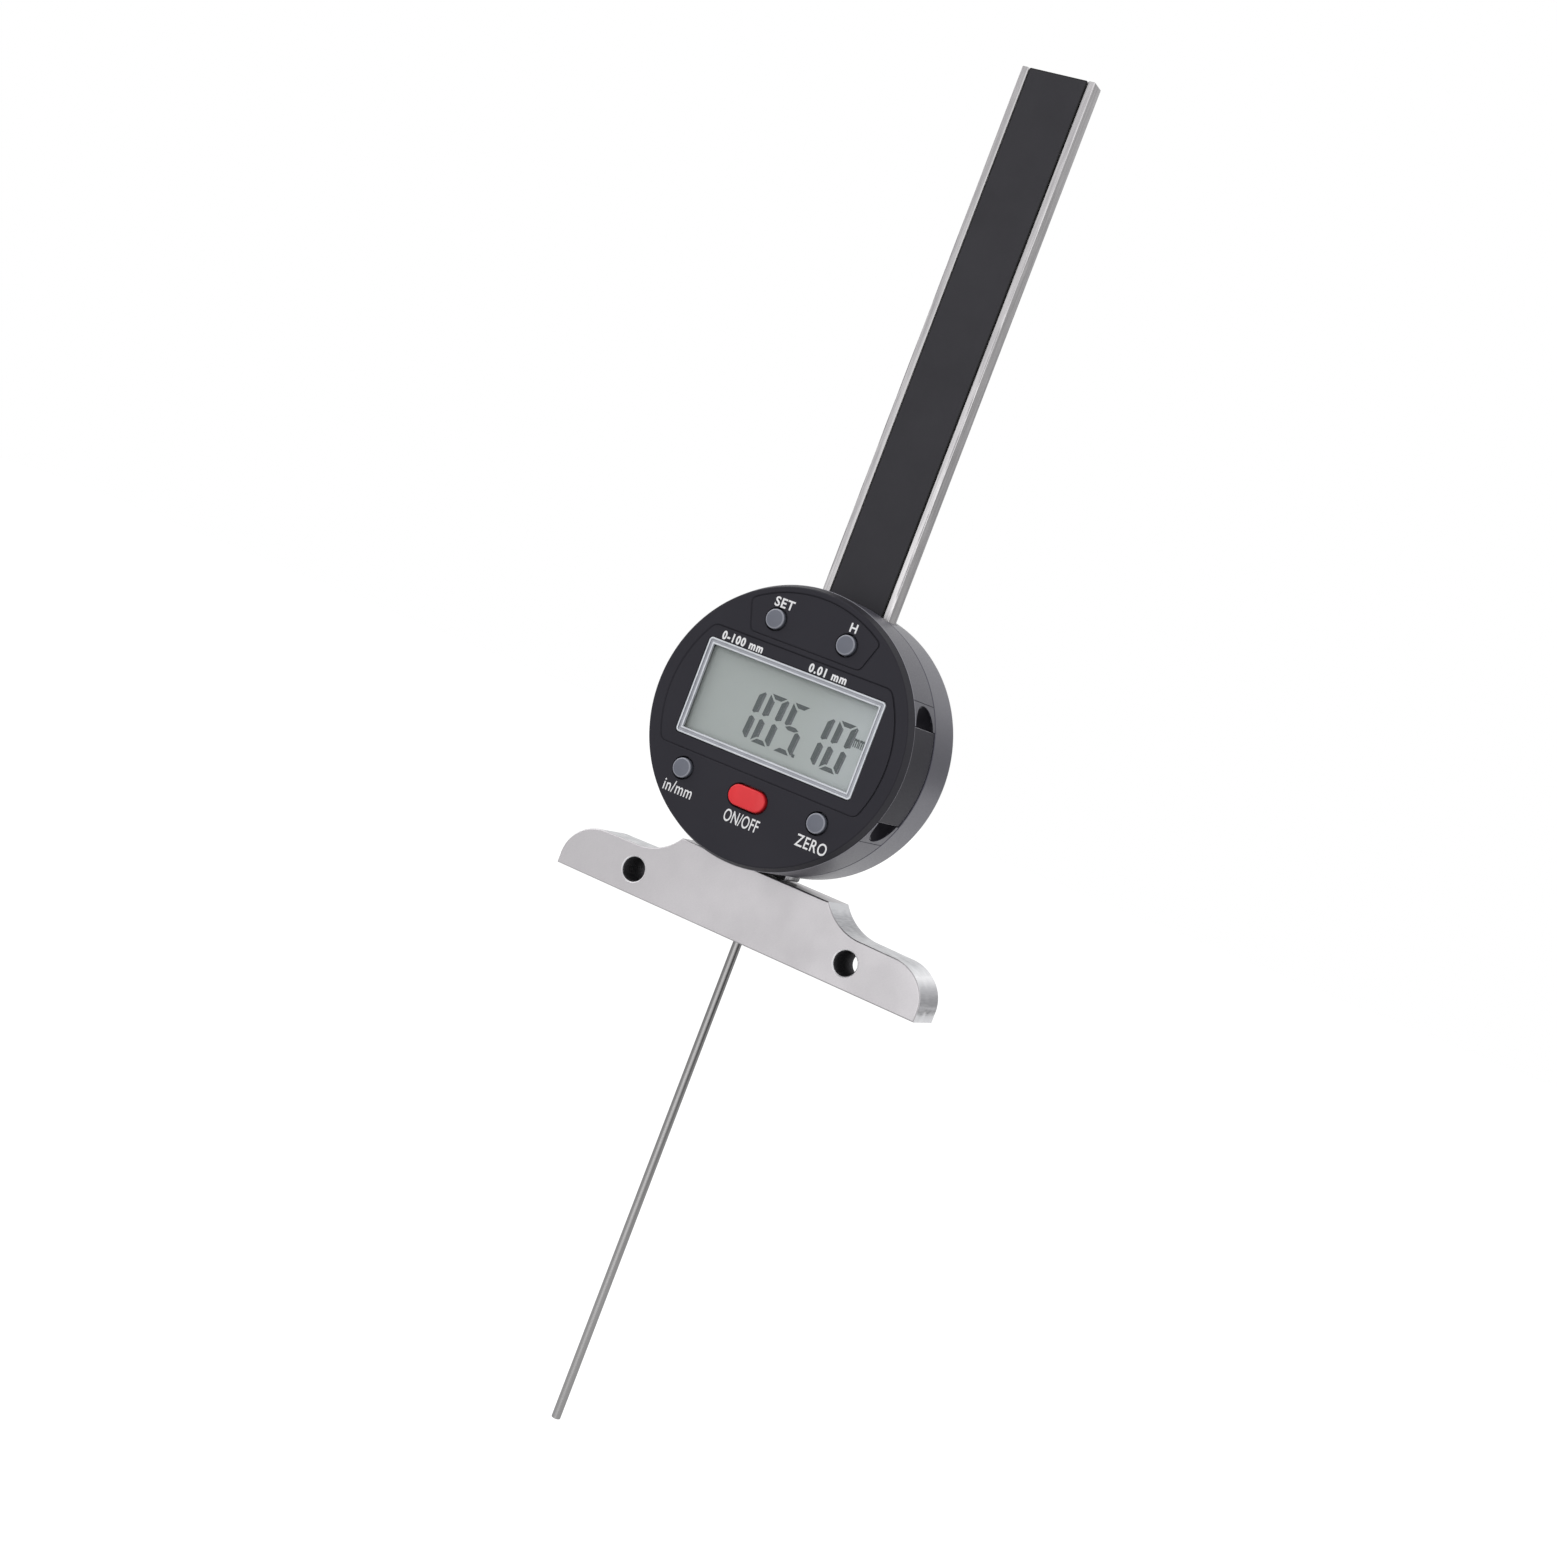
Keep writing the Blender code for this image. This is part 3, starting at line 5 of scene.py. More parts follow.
import bmesh
import bpy
import numpy as np
from mathutils import Matrix, Vector
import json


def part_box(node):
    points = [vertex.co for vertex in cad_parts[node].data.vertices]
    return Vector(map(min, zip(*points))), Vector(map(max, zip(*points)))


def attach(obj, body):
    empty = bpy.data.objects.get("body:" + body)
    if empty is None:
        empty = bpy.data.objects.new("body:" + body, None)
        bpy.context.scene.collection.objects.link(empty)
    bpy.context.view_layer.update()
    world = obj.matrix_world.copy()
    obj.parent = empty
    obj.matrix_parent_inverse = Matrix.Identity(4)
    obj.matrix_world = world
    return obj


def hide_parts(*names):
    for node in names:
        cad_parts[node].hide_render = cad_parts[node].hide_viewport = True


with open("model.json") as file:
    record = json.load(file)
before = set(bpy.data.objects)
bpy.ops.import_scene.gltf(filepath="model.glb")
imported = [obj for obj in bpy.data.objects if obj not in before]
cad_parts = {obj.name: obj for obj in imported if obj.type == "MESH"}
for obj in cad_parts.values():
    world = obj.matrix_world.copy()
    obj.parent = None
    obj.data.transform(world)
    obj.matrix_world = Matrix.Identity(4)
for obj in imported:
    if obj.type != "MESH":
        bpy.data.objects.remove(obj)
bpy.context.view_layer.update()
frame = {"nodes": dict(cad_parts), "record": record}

MM = 0.001

# Head: centre above the measuring face, and the depths of its faces
HEAD_CENTRE = 43.4 * MM
HEAD_RADIUS = 28.1 * MM
SHELL_INNER_RADIUS = 26.3 * MM
FACE_RADIUS = 27.45 * MM
FACE_Y = -19.8 * MM
FACE_BACK_Y = -17.4 * MM
RIM_END_Y = -17.7 * MM
FRONT_END_Y = -7.05 * MM
REAR_START_Y = -6.75 * MM
BACK_INNER_Y = 2.8 * MM
BACK_Y = 4.1 * MM
BOSS_CIRCLE = 23.2 * MM
BOSS_ANGLES = (48, 132, 240, 300)
BOSS_RADIUS = 2.3 * MM
BOSS_HOLE_RADIUS = 1.2 * MM
BOSS_HOLE_Y = -12.2 * MM
STANDOFFS = ((0.0, 65.0 * MM), (0.0, 21.8 * MM), (-22.6 * MM, 43.4 * MM))
STANDOFF_RADIUS = 1.6 * MM
STANDOFF_HOLE_RADIUS = 1.0 * MM
STANDOFF_HOLE_Y = -15.1 * MM
BOARD_FRONT_Y = -12.3 * MM
BODY_SCREW_X = 6.5 * MM
BODY_SCREW_Z = 61.0 * MM
SCREW_NODES = [f"{kind}_screw_{number}" for kind in ("cover", "body") for number in range(1, 5)]

# Display
FRAME_CENTRE = 45.4 * MM
FRAME_WIDTH = 40.2 * MM
FRAME_HEIGHT = 19.8 * MM
FRAME_CORNER = 0.8 * MM
FRAME_BORDER = 1.3 * MM
FRAME_FRONT_Y = -19.9 * MM
FRAME_BACK_Y = -19.2 * MM
LENS_SEAT_Y = -18.0 * MM

# Battery window in the right side, its tray and the finger notches beyond it
WINDOW_FRONT_Y = -17.7 * MM
WINDOW_INNER_X = 21.6 * MM
TRAY_HALF_HEIGHT = 9.8 * MM
WINDOW_HALF_HEIGHT = 14.3 * MM
NOTCH_MIDDLE_Y = -12.8 * MM
NOTCH_HALF_WIDTH = 4.6 * MM
NOTCH_HEIGHT = 4.2 * MM
CELL_X = 18.6 * MM
CELL_RADIUS = 5.8 * MM

# Base, housing and strip
BASE_HALF = 42.8 * MM
BASE_HEIGHT = 14.9 * MM
BASE_FRONT_Y = -5.25 * MM
SHOULDER_X = 17.5 * MM
HOLLOW_X = 26.7 * MM
HOLLOW_HEIGHT = 10.1 * MM
WING_HEIGHT = 10.0 * MM
CROWN_X = 34.4 * MM
TIP_HEIGHT = 7.8 * MM
CROSS_HOLE_X = 25.4 * MM
CROSS_HOLE_Z = 5.1 * MM
CROSS_HOLE_RADIUS = 2.6 * MM
BASE_SCREW_X = 4.9 * MM
BASE_SCREW_Y = -1.5 * MM
NECK_HALF = 6.9 * MM
BEAM_HALF = 8.0 * MM
BEAM_FRONT_Y = -5.3 * MM
BEAM_BACK_Y = -1.2 * MM
BEAM_BOTTOM = 27.3 * MM
BEAM_TOP = 181.9 * MM
RIB_HALF = 3.0 * MM
RIB_BACK_Y = 2.2 * MM
STRIP_HALF = 6.3 * MM
STRIP_BOTTOM = 66.0 * MM
STRIP_TOP = 181.9 * MM

GAP = 0.3 * MM
OVERRUN = 2.0 * MM
MERGE = 0.0002 * MM
FINE_STEPS = 360
HOLE_STEPS = 72
PHOTO_SIZE = 1557


def linear(hex_code):
    """sRGB hex to a linear colour with full alpha."""
    values = []
    for i in (0, 2, 4):
        share = int(hex_code[i:i + 2], 16) / 255
        values.append(share / 12.92 if share <= 0.04045 else ((share + 0.055) / 1.055) ** 2.4)
    return (*values, 1.0)


# Meshes

def surface(name, grid, caps=True, wrap=True, ring=False):
    """Piece from a grid of points (rows, columns, 3). Each row closes on itself where wrap is set, the last
    row joins the first where ring is set, and caps closes the first and last rows with flat faces."""
    rows, columns = grid.shape[:2]
    index = np.arange(rows * columns).reshape(rows, columns)
    if wrap:
        index = np.concatenate([index, index[:, :1]], axis=1)
    if ring:
        index = np.concatenate([index, index[:1]], axis=0)
    quads = np.stack([index[:-1, :-1], index[:-1, 1:], index[1:, 1:], index[1:, :-1]], axis=-1).reshape(-1, 4)
    faces = quads.tolist()
    if caps and not ring:
        faces += [index[0, :columns].tolist(), index[-1, :columns].tolist()]
    mesh = bpy.data.meshes.new(name)
    mesh.from_pydata(grid.reshape(-1, 3).tolist(), [], faces)
    mended(mesh)
    return placed(name, mesh)


def placed(name, mesh):
    """New object at the origin that shows a mesh."""
    piece = bpy.data.objects.new(name, mesh)
    bpy.context.scene.collection.objects.link(piece)
    return piece


def mended(mesh, turned_out=True):
    """Merges coinciding points, drops empty faces and turns all faces outwards."""
    body = bmesh.new()
    body.from_mesh(mesh)
    bmesh.ops.remove_doubles(body, verts=body.verts, dist=MERGE)
    bmesh.ops.dissolve_degenerate(body, edges=body.edges, dist=MERGE)
    if turned_out:
        bmesh.ops.recalc_face_normals(body, faces=body.faces)
    body.to_mesh(mesh)
    body.free()


def along(axis, u, v, depth):
    """Points (u, v) at a depth along an axis: X takes (y, z), Y takes (x, z) and Z takes (x, y)."""
    order = {"X": (depth, u, v), "Y": (u, depth, v), "Z": (u, v, depth)}[axis]
    return np.stack(order, axis=-1)


def lathe(name, profile, centre=(0.0, 0.0), axis="Y", steps=FINE_STEPS):
    """Profile of (radius, depth) points turned about an axis through centre: each point (r, d) becomes the
    circle centre + r (cos t, sin t) at depth d."""
    profile = np.asarray(profile, dtype=float)
    turn = np.arange(steps) * (2 * math.pi / steps)
    u = centre[0] + profile[:, :1] * np.cos(turn)
    v = centre[1] + profile[:, :1] * np.sin(turn)
    return surface(name, along(axis, u, v, np.repeat(profile[:, 1:], steps, axis=1)))


def plate(name, outline, levels, axis="Y", ring=False):
    """Counter-clockwise outline of (u, v) points carried along an axis through levels of (inset, depth): at
    each level every point is moved inwards by the inset along its mitre. A ring's last level joins its
    first."""
    outline = np.asarray(outline, dtype=float)
    ahead = np.roll(outline, -1, axis=0) - outline
    ahead /= np.linalg.norm(ahead, axis=1, keepdims=True) + 1e-12
    behind = np.roll(ahead, 1, axis=0)
    mitre = np.stack([ahead[:, 1] + behind[:, 1], -ahead[:, 0] - behind[:, 0]], axis=1)
    mitre /= np.maximum(1 + np.sum(ahead * behind, axis=1, keepdims=True), 0.3)
    levels = np.asarray(levels, dtype=float)
    moved = outline[None] - levels[:, :1, None] * mitre[None]
    depth = np.repeat(levels[:, 1:], len(outline), axis=1)
    return surface(name, along(axis, moved[..., 0], moved[..., 1], depth), ring=ring)


def rounded(radius, near, far, steps=6):
    """Levels of a plate with quarter-round edges: inset r (1 - sin t), depth r (1 - cos t) from each face."""
    turn = np.linspace(0, math.pi / 2, steps + 1)
    inset = radius * (1 - np.sin(turn))
    depth = radius * (1 - np.cos(turn))
    return list(zip(inset, near + depth)) + list(zip(inset[::-1], (far - depth)[::-1]))


def arc(centre, radius_u, radius_v, start, end, steps):
    """Points of an elliptical arc between two angles in degrees."""
    turn = np.radians(np.linspace(start, end, steps + 1))
    return np.stack([centre[0] + radius_u * np.cos(turn), centre[1] + radius_v * np.sin(turn)], axis=1)


def rectangle(half_u, half_v, corner, centre=(0.0, 0.0), steps=8):
    """Rectangle with quarter-round corners, counter-clockwise."""
    parts = []
    for side_u, side_v, start in ((1, -1, -90), (1, 1, 0), (-1, 1, 90), (-1, -1, 180)):
        middle = (centre[0] + side_u * (half_u - corner), centre[1] + side_v * (half_v - corner))
        parts.append(arc(middle, corner, corner, start, start + 90, steps))
    return np.concatenate(parts)


def box_outline(low_u, high_u, low_v, high_v):
    """Plain rectangle between two corners, counter-clockwise."""
    return np.array([(low_u, low_v), (high_u, low_v), (high_u, high_v), (low_u, high_v)])


def stadium(length, width, centre, steps=HOLE_STEPS // 2):
    """Two half circles joined by straight sides, long along u."""
    reach = (length - width) / 2
    right = arc((centre[0] + reach, centre[1]), width / 2, width / 2, -90, 90, steps)
    left = arc((centre[0] - reach, centre[1]), width / 2, width / 2, 90, 270, steps)
    return np.concatenate([right[:-1], left[:-1]]) if reach == 0 else np.concatenate([right, left])


def shaped(piece, operation, tool):
    """Applies a Boolean with a tool piece, then removes the tool."""
    modifier = piece.modifiers.new("Shape", "BOOLEAN")
    modifier.operation = operation
    modifier.solver = "EXACT"
    modifier.object = tool
    bpy.context.view_layer.update()
    mesh = bpy.data.meshes.new_from_object(piece.evaluated_get(bpy.context.evaluated_depsgraph_get()))
    piece.modifiers.clear()
    old, spent = piece.data, tool.data
    piece.data = mesh
    bpy.data.meshes.remove(old)
    bpy.data.objects.remove(tool, do_unlink=True)
    bpy.data.meshes.remove(spent)
    mended(mesh, turned_out=False)


def cut(piece, *tools):
    """Takes tool pieces away from a piece."""
    for tool in tools:
        shaped(piece, "DIFFERENCE", tool)


def grown(piece, *tools):
    """Adds tool pieces to a piece."""
    for tool in tools:
        shaped(piece, "UNION", tool)


def column(radius, near, far, centre, axis="Y", steps=HOLE_STEPS):
    """Round tool between two depths."""
    return lathe("tool", [(0, near), (radius, near), (radius, far), (0, far)], centre, axis, steps)


def joined(name, pieces):
    """One piece from several that don't touch."""
    body = bmesh.new()
    for piece in pieces:
        body.from_mesh(piece.data)
        spent = piece.data
        bpy.data.objects.remove(piece, do_unlink=True)
        bpy.data.meshes.remove(spent)
    mesh = bpy.data.meshes.new(name)
    body.to_mesh(mesh)
    body.free()
    return placed(name, mesh)


def panel_step(path, width, depth):
    """Cutting tool for the sunken line round a raised panel: a wedge carried along a closed (x, z) path,
    upright on the panel's side and sloping back to the face on the outer side."""
    ahead = np.roll(path, -1, axis=0) - np.roll(path, 1, axis=0)
    ahead /= np.linalg.norm(ahead, axis=1, keepdims=True)
    outward = np.stack([ahead[:, 1], -ahead[:, 0]], axis=1)
    rows = []
    for side, level in ((width, -0.2 * depth), (0.12 * width, depth), (-0.05 * width, depth),
                        (-0.1 * width, -depth), (width, -depth)):
        spot = path + side * outward
        rows.append(along("Y", spot[:, 0], spot[:, 1], np.full(len(path), FACE_Y + level)))
    return surface("tool", np.array(rows), ring=True)


def softened(path, window):
    """Closed path resampled evenly, then averaged over a window's length, which rounds its corners."""
    pitch = 0.25 * MM
    closed = np.concatenate([path, path[:1]])
    run = np.concatenate([[0], np.cumsum(np.linalg.norm(np.diff(closed, axis=0), axis=1))])
    even = np.linspace(0, run[-1], int(run[-1] / pitch), endpoint=False)
    points = np.stack([np.interp(even, run, closed[:, k]) for k in (0, 1)], axis=1)
    half = max(int(window / pitch / 2), 1)
    return sum(np.roll(points, shift, axis=0) for shift in range(-half, half + 1)) / (2 * half + 1)


def dressed(piece, material, body="gauge", nodes=(), angle=32.0):
    """Gives a finished piece its shading, material and body, and hides the nodes that it replaces."""
    mesh = piece.data
    mesh.shade_smooth()
    mesh.set_sharp_from_angle(angle=math.radians(angle))
    even = piece.modifiers.new("Even shading", "WEIGHTED_NORMAL")
    even.keep_sharp = True
    mesh.materials.clear()
    mesh.materials.append(material)
    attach(piece, body)
    if nodes:
        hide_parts(*nodes)
    return piece


def second_finish(piece, material, chosen):
    """Puts another material on the faces that a test on their centres and normals picks."""
    mesh = piece.data
    mesh.materials.append(material)
    count = len(mesh.polygons)
    centres, normals, index = np.empty(count * 3), np.empty(count * 3), np.empty(count, dtype=np.int32)
    mesh.polygons.foreach_get("center", centres)
    mesh.polygons.foreach_get("normal", normals)
    mesh.polygons.foreach_get("material_index", index)
    index[chosen(centres.reshape(-1, 3), normals.reshape(-1, 3))] = len(mesh.materials) - 1
    mesh.polygons.foreach_set("material_index", index)


# Materials

def plugged(tree, socket, value):
    """Links a node, by its first output in use, or a socket, and sets any other value on the socket."""
    if isinstance(value, bpy.types.Node):
        value = next(output for output in value.outputs if output.enabled)
    if isinstance(value, bpy.types.NodeSocket):
        tree.links.new(value, socket)
    else:
        socket.default_value = value


def node(tree, kind, inputs=(), stops=(), **settings):
    """Adds a shader node with its settings, and its inputs in order or by key. Stops are a ramp's positions
    and hex colours."""
    made = tree.nodes.new("ShaderNode" + kind)
    for key, value in settings.items():
        setattr(made, key, value)
    for key, value in inputs.items() if isinstance(inputs, dict) else enumerate(inputs):
        plugged(tree, made.inputs[key], value)
    if stops:
        elements = made.color_ramp.elements
        while len(elements) < len(stops):
            elements.new(0.5)
        for element, (position, colour) in zip(elements, stops):
            element.position, element.color = position, linear(colour)
    return made


def started(name):
    """New material, its node tree and its Object coordinates."""
    material = bpy.data.materials.new(name)
    material.use_nodes = True
    tree = material.node_tree
    return material, tree, node(tree, "TexCoord").outputs["Object"]


def wired(material, **sockets):
    """Sets or links the sockets of a material's shader, named with underscores for spaces."""
    tree = material.node_tree
    for name, value in sockets.items():
        plugged(tree, tree.nodes["Principled BSDF"].inputs[name.replace("_", " ")], value)
    return material


def ground_steel(name, light, dark, grain_mm, roughness, lift=0.12, stain=0.10):
    """Ground stainless steel: fine parallel scratches that draw each highlight out across the grain, and slow
    clouds where oil and handling have dulled it."""
    material, tree, place = started(name)
    pitch = tuple(1 / (length * MM) for length in grain_mm)
    grain = node(tree, "Mapping", {"Vector": place, "Scale": pitch})
    scratch = node(tree, "TexNoise", {"Vector": grain, "Scale": 1.0, "Detail": 5.0, "Roughness": 0.65})
    cloud = node(tree, "TexNoise", {"Vector": place, "Scale": 1 / (11 * MM), "Detail": 3.0})
    tone = node(tree, "ValToRGB", (scratch,), ((0.30, dark), (0.70, light)))
    dulling_and_painted_shade = node(tree, "MapRange", (cloud, 0.35, 0.75, 0.0, stain))
    tone = node(tree, "Mix", {0: dulling_and_painted_shade, 6: tone, 7: linear("6E6C6E")}, data_type="RGBA")
    return wired(material, Base_Color=tone, Metallic=1.0,
                 Roughness=node(tree, "MapRange", (cloud, 0.3, 0.7, roughness - 0.05, roughness + 0.05)),
                 Normal=node(tree, "Bump", {"Height": scratch, "Strength": lift, "Distance": 0.02 * MM}))


def moulded_abs(name, base, worn, roughness, grain_mm=0.22, level=0.25):
    """ABS from a spark-eroded mould: an even fine grain that breaks the gloss into a soft satin. The real
    grain is about 0.05 mm, drawn coarser here so that it shows."""
    material, tree, place = started(name)
    grain = node(tree, "TexNoise", {"Vector": place, "Scale": 1 / (grain_mm * MM), "Detail": 3.0,
                                    "Roughness": 0.6})
    cloud = node(tree, "TexNoise", {"Vector": place, "Scale": 1 / (16 * MM), "Detail": 4.0})
    return wired(material, Base_Color=node(tree, "ValToRGB", (cloud,), ((0.3, base), (0.75, worn))),
                 Specular_IOR_Level=level, Specular_Tint=linear("DEDEEC"),
                 Roughness=node(tree, "MapRange", (grain, 0.3, 0.7, roughness - 0.06, roughness + 0.08)),
                 Normal=node(tree, "Bump", {"Height": grain, "Strength": 0.25, "Distance": 0.03 * MM}))


def smooth_plastic(name, base, deep, roughness, metallic=0.0):
    """Polished injection moulding: faint flow marks in the colour and a slight waviness in the gloss."""
    material, tree, place = started(name)
    flow = node(tree, "TexNoise", {"Vector": place, "Scale": 1 / (4 * MM), "Detail": 4.0, "Distortion": 0.6})
    return wired(material, Base_Color=node(tree, "ValToRGB", (flow,), ((0.25, deep), (0.75, base))),
                 Metallic=metallic, Specular_IOR_Level=0.4,
                 Roughness=node(tree, "MapRange", (flow, 0.3, 0.7, roughness - 0.04, roughness + 0.05)),
                 Normal=node(tree, "Bump", {"Height": flow, "Strength": 0.05, "Distance": 0.05 * MM}))


def housing_steel():
    """Ground bar: streaks run its whole length, the lip beside the strip carries a painted highlight, a thin
    broken painted dark reflection lies where front and side meet, and painted shade darkens all but the
    sides towards the top."""
    material, tree, place = started("ground_stainless_housing")
    axes = node(tree, "SeparateXYZ", (place,)).outputs
    side = node(tree, "Math", (axes["X"],), operation="ABSOLUTE")
    parts = []
    for across, length, share in ((0.34, 16.0, 0.6), (0.13, 5.0, 0.4)):
        pitch = (1 / (across * MM), 1 / (across * MM), 1 / (length * MM))
        grain = node(tree, "Mapping", {"Vector": place, "Scale": pitch})
        stretched = node(tree, "TexNoise", {"Vector": grain, "Scale": 1.0, "Detail": 4.0})
        parts.append(node(tree, "Math", (stretched, share), operation="MULTIPLY"))
    streak = node(tree, "Math", parts, operation="ADD")
    tone = node(tree, "ValToRGB", (streak,), ((0.36, "A5A3A5"), (0.62, "CBC9CA")))
    # Painted shade: every face but the sides goes towards darker grey, more so towards the top
    dulling_and_painted_shade = node(tree, "Math", (node(tree, "MapRange", (side, 7.86 * MM, 7.97 * MM, 1.0, 0.0)),
                               node(tree, "MapRange", (axes["Z"], 70 * MM, 170 * MM, 0.15, 0.60))),
                operation="MULTIPLY")
    tone = node(tree, "Mix", {0: dulling_and_painted_shade, 6: tone, 7: linear("7A787A")}, data_type="RGBA")
    # Painted highlight: a bright band on the lip beside the strip
    lip = node(tree, "MapRange", (side, 6.66 * MM, 6.76 * MM, 0.8, 0.0))
    tone = node(tree, "Mix", {0: lip, 6: tone, 7: linear("DAD8D9")}, data_type="RGBA")
    # Painted dark reflection: a thin broken dark line where front and side meet, fainter towards the top
    off = node(tree, "Math", (side, 7.8 * MM), operation="SUBTRACT")
    off = node(tree, "Math", (off,), operation="ABSOLUTE")
    patchy = node(tree, "TexNoise", {"Vector": place, "Scale": 1 / (7 * MM), "Detail": 4.0})
    painted_dark_edge_line = node(tree, "Math", (node(tree, "MapRange", (off, 0.03 * MM, 0.13 * MM, 0.8, 0.0)),
                              node(tree, "MapRange", (patchy, 0.42, 0.58, 0.0, 1.0))), operation="MULTIPLY")
    low = node(tree, "MapRange", (axes["Z"], 110 * MM, 170 * MM, 1.0, 0.15))
    painted_dark_edge_line = node(tree, "Math", (painted_dark_edge_line, low), operation="MULTIPLY")
    tone = node(tree, "Mix", {0: painted_dark_edge_line, 6: tone, 7: linear("4E4C4F")}, data_type="RGBA")
    return wired(material, Base_Color=tone, Metallic=1.0,
                 Roughness=node(tree, "MapRange", (patchy, 0.3, 0.7, 0.28, 0.36)),
                 Normal=node(tree, "Bump", {"Height": streak, "Strength": 0.14, "Distance": 0.02 * MM}))


def base_edge_painted_reflections():
    """Profile-ground edge of the base with painted reflections: bands of painted light and shade follow its
    height, from a dark line low on the tips to a painted highlight on the crown and a darker hollow above."""
    material, tree, place = started("edge_steel_painted_reflections")
    pitch = (1 / (0.3 * MM), 1 / (3 * MM), 1 / (0.3 * MM))
    grain = node(tree, "Mapping", {"Vector": place, "Scale": pitch})
    scratch = node(tree, "TexNoise", {"Vector": grain, "Scale": 1.0, "Detail": 5.0})
    cloud = node(tree, "TexNoise", {"Vector": place, "Scale": 1 / (2.5 * MM), "Detail": 4.0})
    waver = node(tree, "MapRange", (cloud, 0.3, 0.7, -0.35 * MM, 0.35 * MM))
    height = node(tree, "SeparateXYZ", (place,)).outputs["Z"]
    height = node(tree, "Math", (height, waver), operation="ADD")
    height = node(tree, "Math", (height, 15 * MM), operation="DIVIDE")
    # Painted reflections: light and dark bands by height, with a painted highlight at the crown
    tone = node(tree, "ValToRGB", (height,), (
        (0.00, "CFCFD2"), (0.09, "C2C2C5"), (0.145, "6A6A6D"), (0.20, "A6A6AA"), (0.30, "B6B6BA"),
        (0.43, "C2C2C6"), (0.55, "F2F2F4"), (0.63, "CBCCCF"), (0.68, "AFB0B3"), (0.75, "8A8B8F"),
        (0.84, "9A9B9F"), (0.92, "C2C3C6"), (1.00, "CECFD2")))
    bright = node(tree, "MapRange", (scratch, 0.35, 0.7, 0.0, 0.35))
    tone = node(tree, "Mix", {0: bright, 6: tone, 7: linear("D8D8DA")}, data_type="RGBA")
    return wired(material, Base_Color=tone, Metallic=1.0,
                 Roughness=node(tree, "MapRange", (cloud, 0.3, 0.7, 0.30, 0.40)),
                 Normal=node(tree, "Bump", {"Height": scratch, "Strength": 0.10, "Distance": 0.02 * MM}))


def neck_steel():
    """Milled neck block: its sides are speckled by the cutter, with painted shade that darkens them towards the
    back.
    """
    material, tree, place = started("milled_stainless_neck")
    speck = node(tree, "TexNoise", {"Vector": place, "Scale": 1 / (0.5 * MM), "Detail": 5.0})
    waver = node(tree, "MapRange", (speck, 0.3, 0.7, -0.6 * MM, 0.6 * MM))
    depth = node(tree, "SeparateXYZ", (place,)).outputs["Y"]
    depth = node(tree, "Math", (depth, waver), operation="ADD")
    tone = node(tree, "ValToRGB", (speck,), ((0.38, "8A8A8D"), (0.60, "DCDCDF")))
    # Painted shade: the sides go darker towards the back
    painted_shade_back = node(tree, "MapRange", (depth, -2.4 * MM, -1.0 * MM, 0.0, 0.8))
    tone = node(tree, "Mix", {0: painted_shade_back, 6: tone, 7: linear("2A2A2D")}, data_type="RGBA")
    return wired(material, Base_Color=tone, Metallic=1.0, Roughness=0.36,
                 Normal=node(tree, "Bump", {"Height": speck, "Strength": 0.15, "Distance": 0.03 * MM}))


def bright_rod():
    """Centreless-ground and polished rod: faint rings round it, painted shade that darkens the flanks as they
    turn away and the part close under the base, and a painted dark reflection down its right side that thins
    out downwards."""
    material, tree, place = started("centreless_ground_rod")
    pitch = (1 / (0.5 * MM), 1 / (0.5 * MM), 1 / (0.12 * MM))
    rings = node(tree, "Mapping", {"Vector": place, "Scale": pitch})
    scratch = node(tree, "TexNoise", {"Vector": rings, "Scale": 1.0, "Detail": 4.0})
    # Painted shade: the flanks darken as they turn from the view, and the rod is darker close under the base
    facing = node(tree, "LayerWeight", {"Blend": 0.5}).outputs["Facing"]
    dark = node(tree, "ValToRGB", (facing,), ((0.02, "868585"), (0.30, "767575"), (0.70, "4C4B4C")))
    pale = node(tree, "ValToRGB", (facing,), ((0.02, "8F8E8E"), (0.40, "868585"), (0.85, "605F60")))
    across = node(tree, "VectorMath", (place, (0.907 / MM, 0.421 / MM, 0.0)), operation="DOT_PRODUCT")
    off = node(tree, "Math", (across, 0.40), operation="SUBTRACT")
    off = node(tree, "Math", (off,), operation="ABSOLUTE")
    depth = node(tree, "SeparateXYZ", (place,)).outputs["Z"]
    lower = node(tree, "MapRange", (depth, -80 * MM, -10 * MM, 1.0, 0.0))
    tone = node(tree, "Mix", {0: lower, 6: dark, 7: pale}, data_type="RGBA")
    # Painted dark reflection down the right side, thinning out downwards
    streak = node(tree, "Math", (node(tree, "MapRange", (off, 0.10, 0.26, 0.85, 0.0)),
                                 node(tree, "MapRange", (depth, -75 * MM, -15 * MM, 0.0, 1.0))),
                  operation="MULTIPLY")
    tone = node(tree, "Mix", {0: streak, 6: tone, 7: linear("1C1C1D")}, data_type="RGBA")
    worn = node(tree, "MapRange", (scratch, 0.35, 0.7, 0.0, 0.25))
    tone = node(tree, "Mix", {0: worn, 6: tone, 7: linear("7E7D7D")}, data_type="RGBA")
    return wired(material, Base_Color=tone, Metallic=1.0,
                 Roughness=node(tree, "MapRange", (scratch, 0.3, 0.7, 0.22, 0.32)),
                 Normal=node(tree, "Bump", {"Height": scratch, "Strength": 0.08, "Distance": 0.01 * MM}))


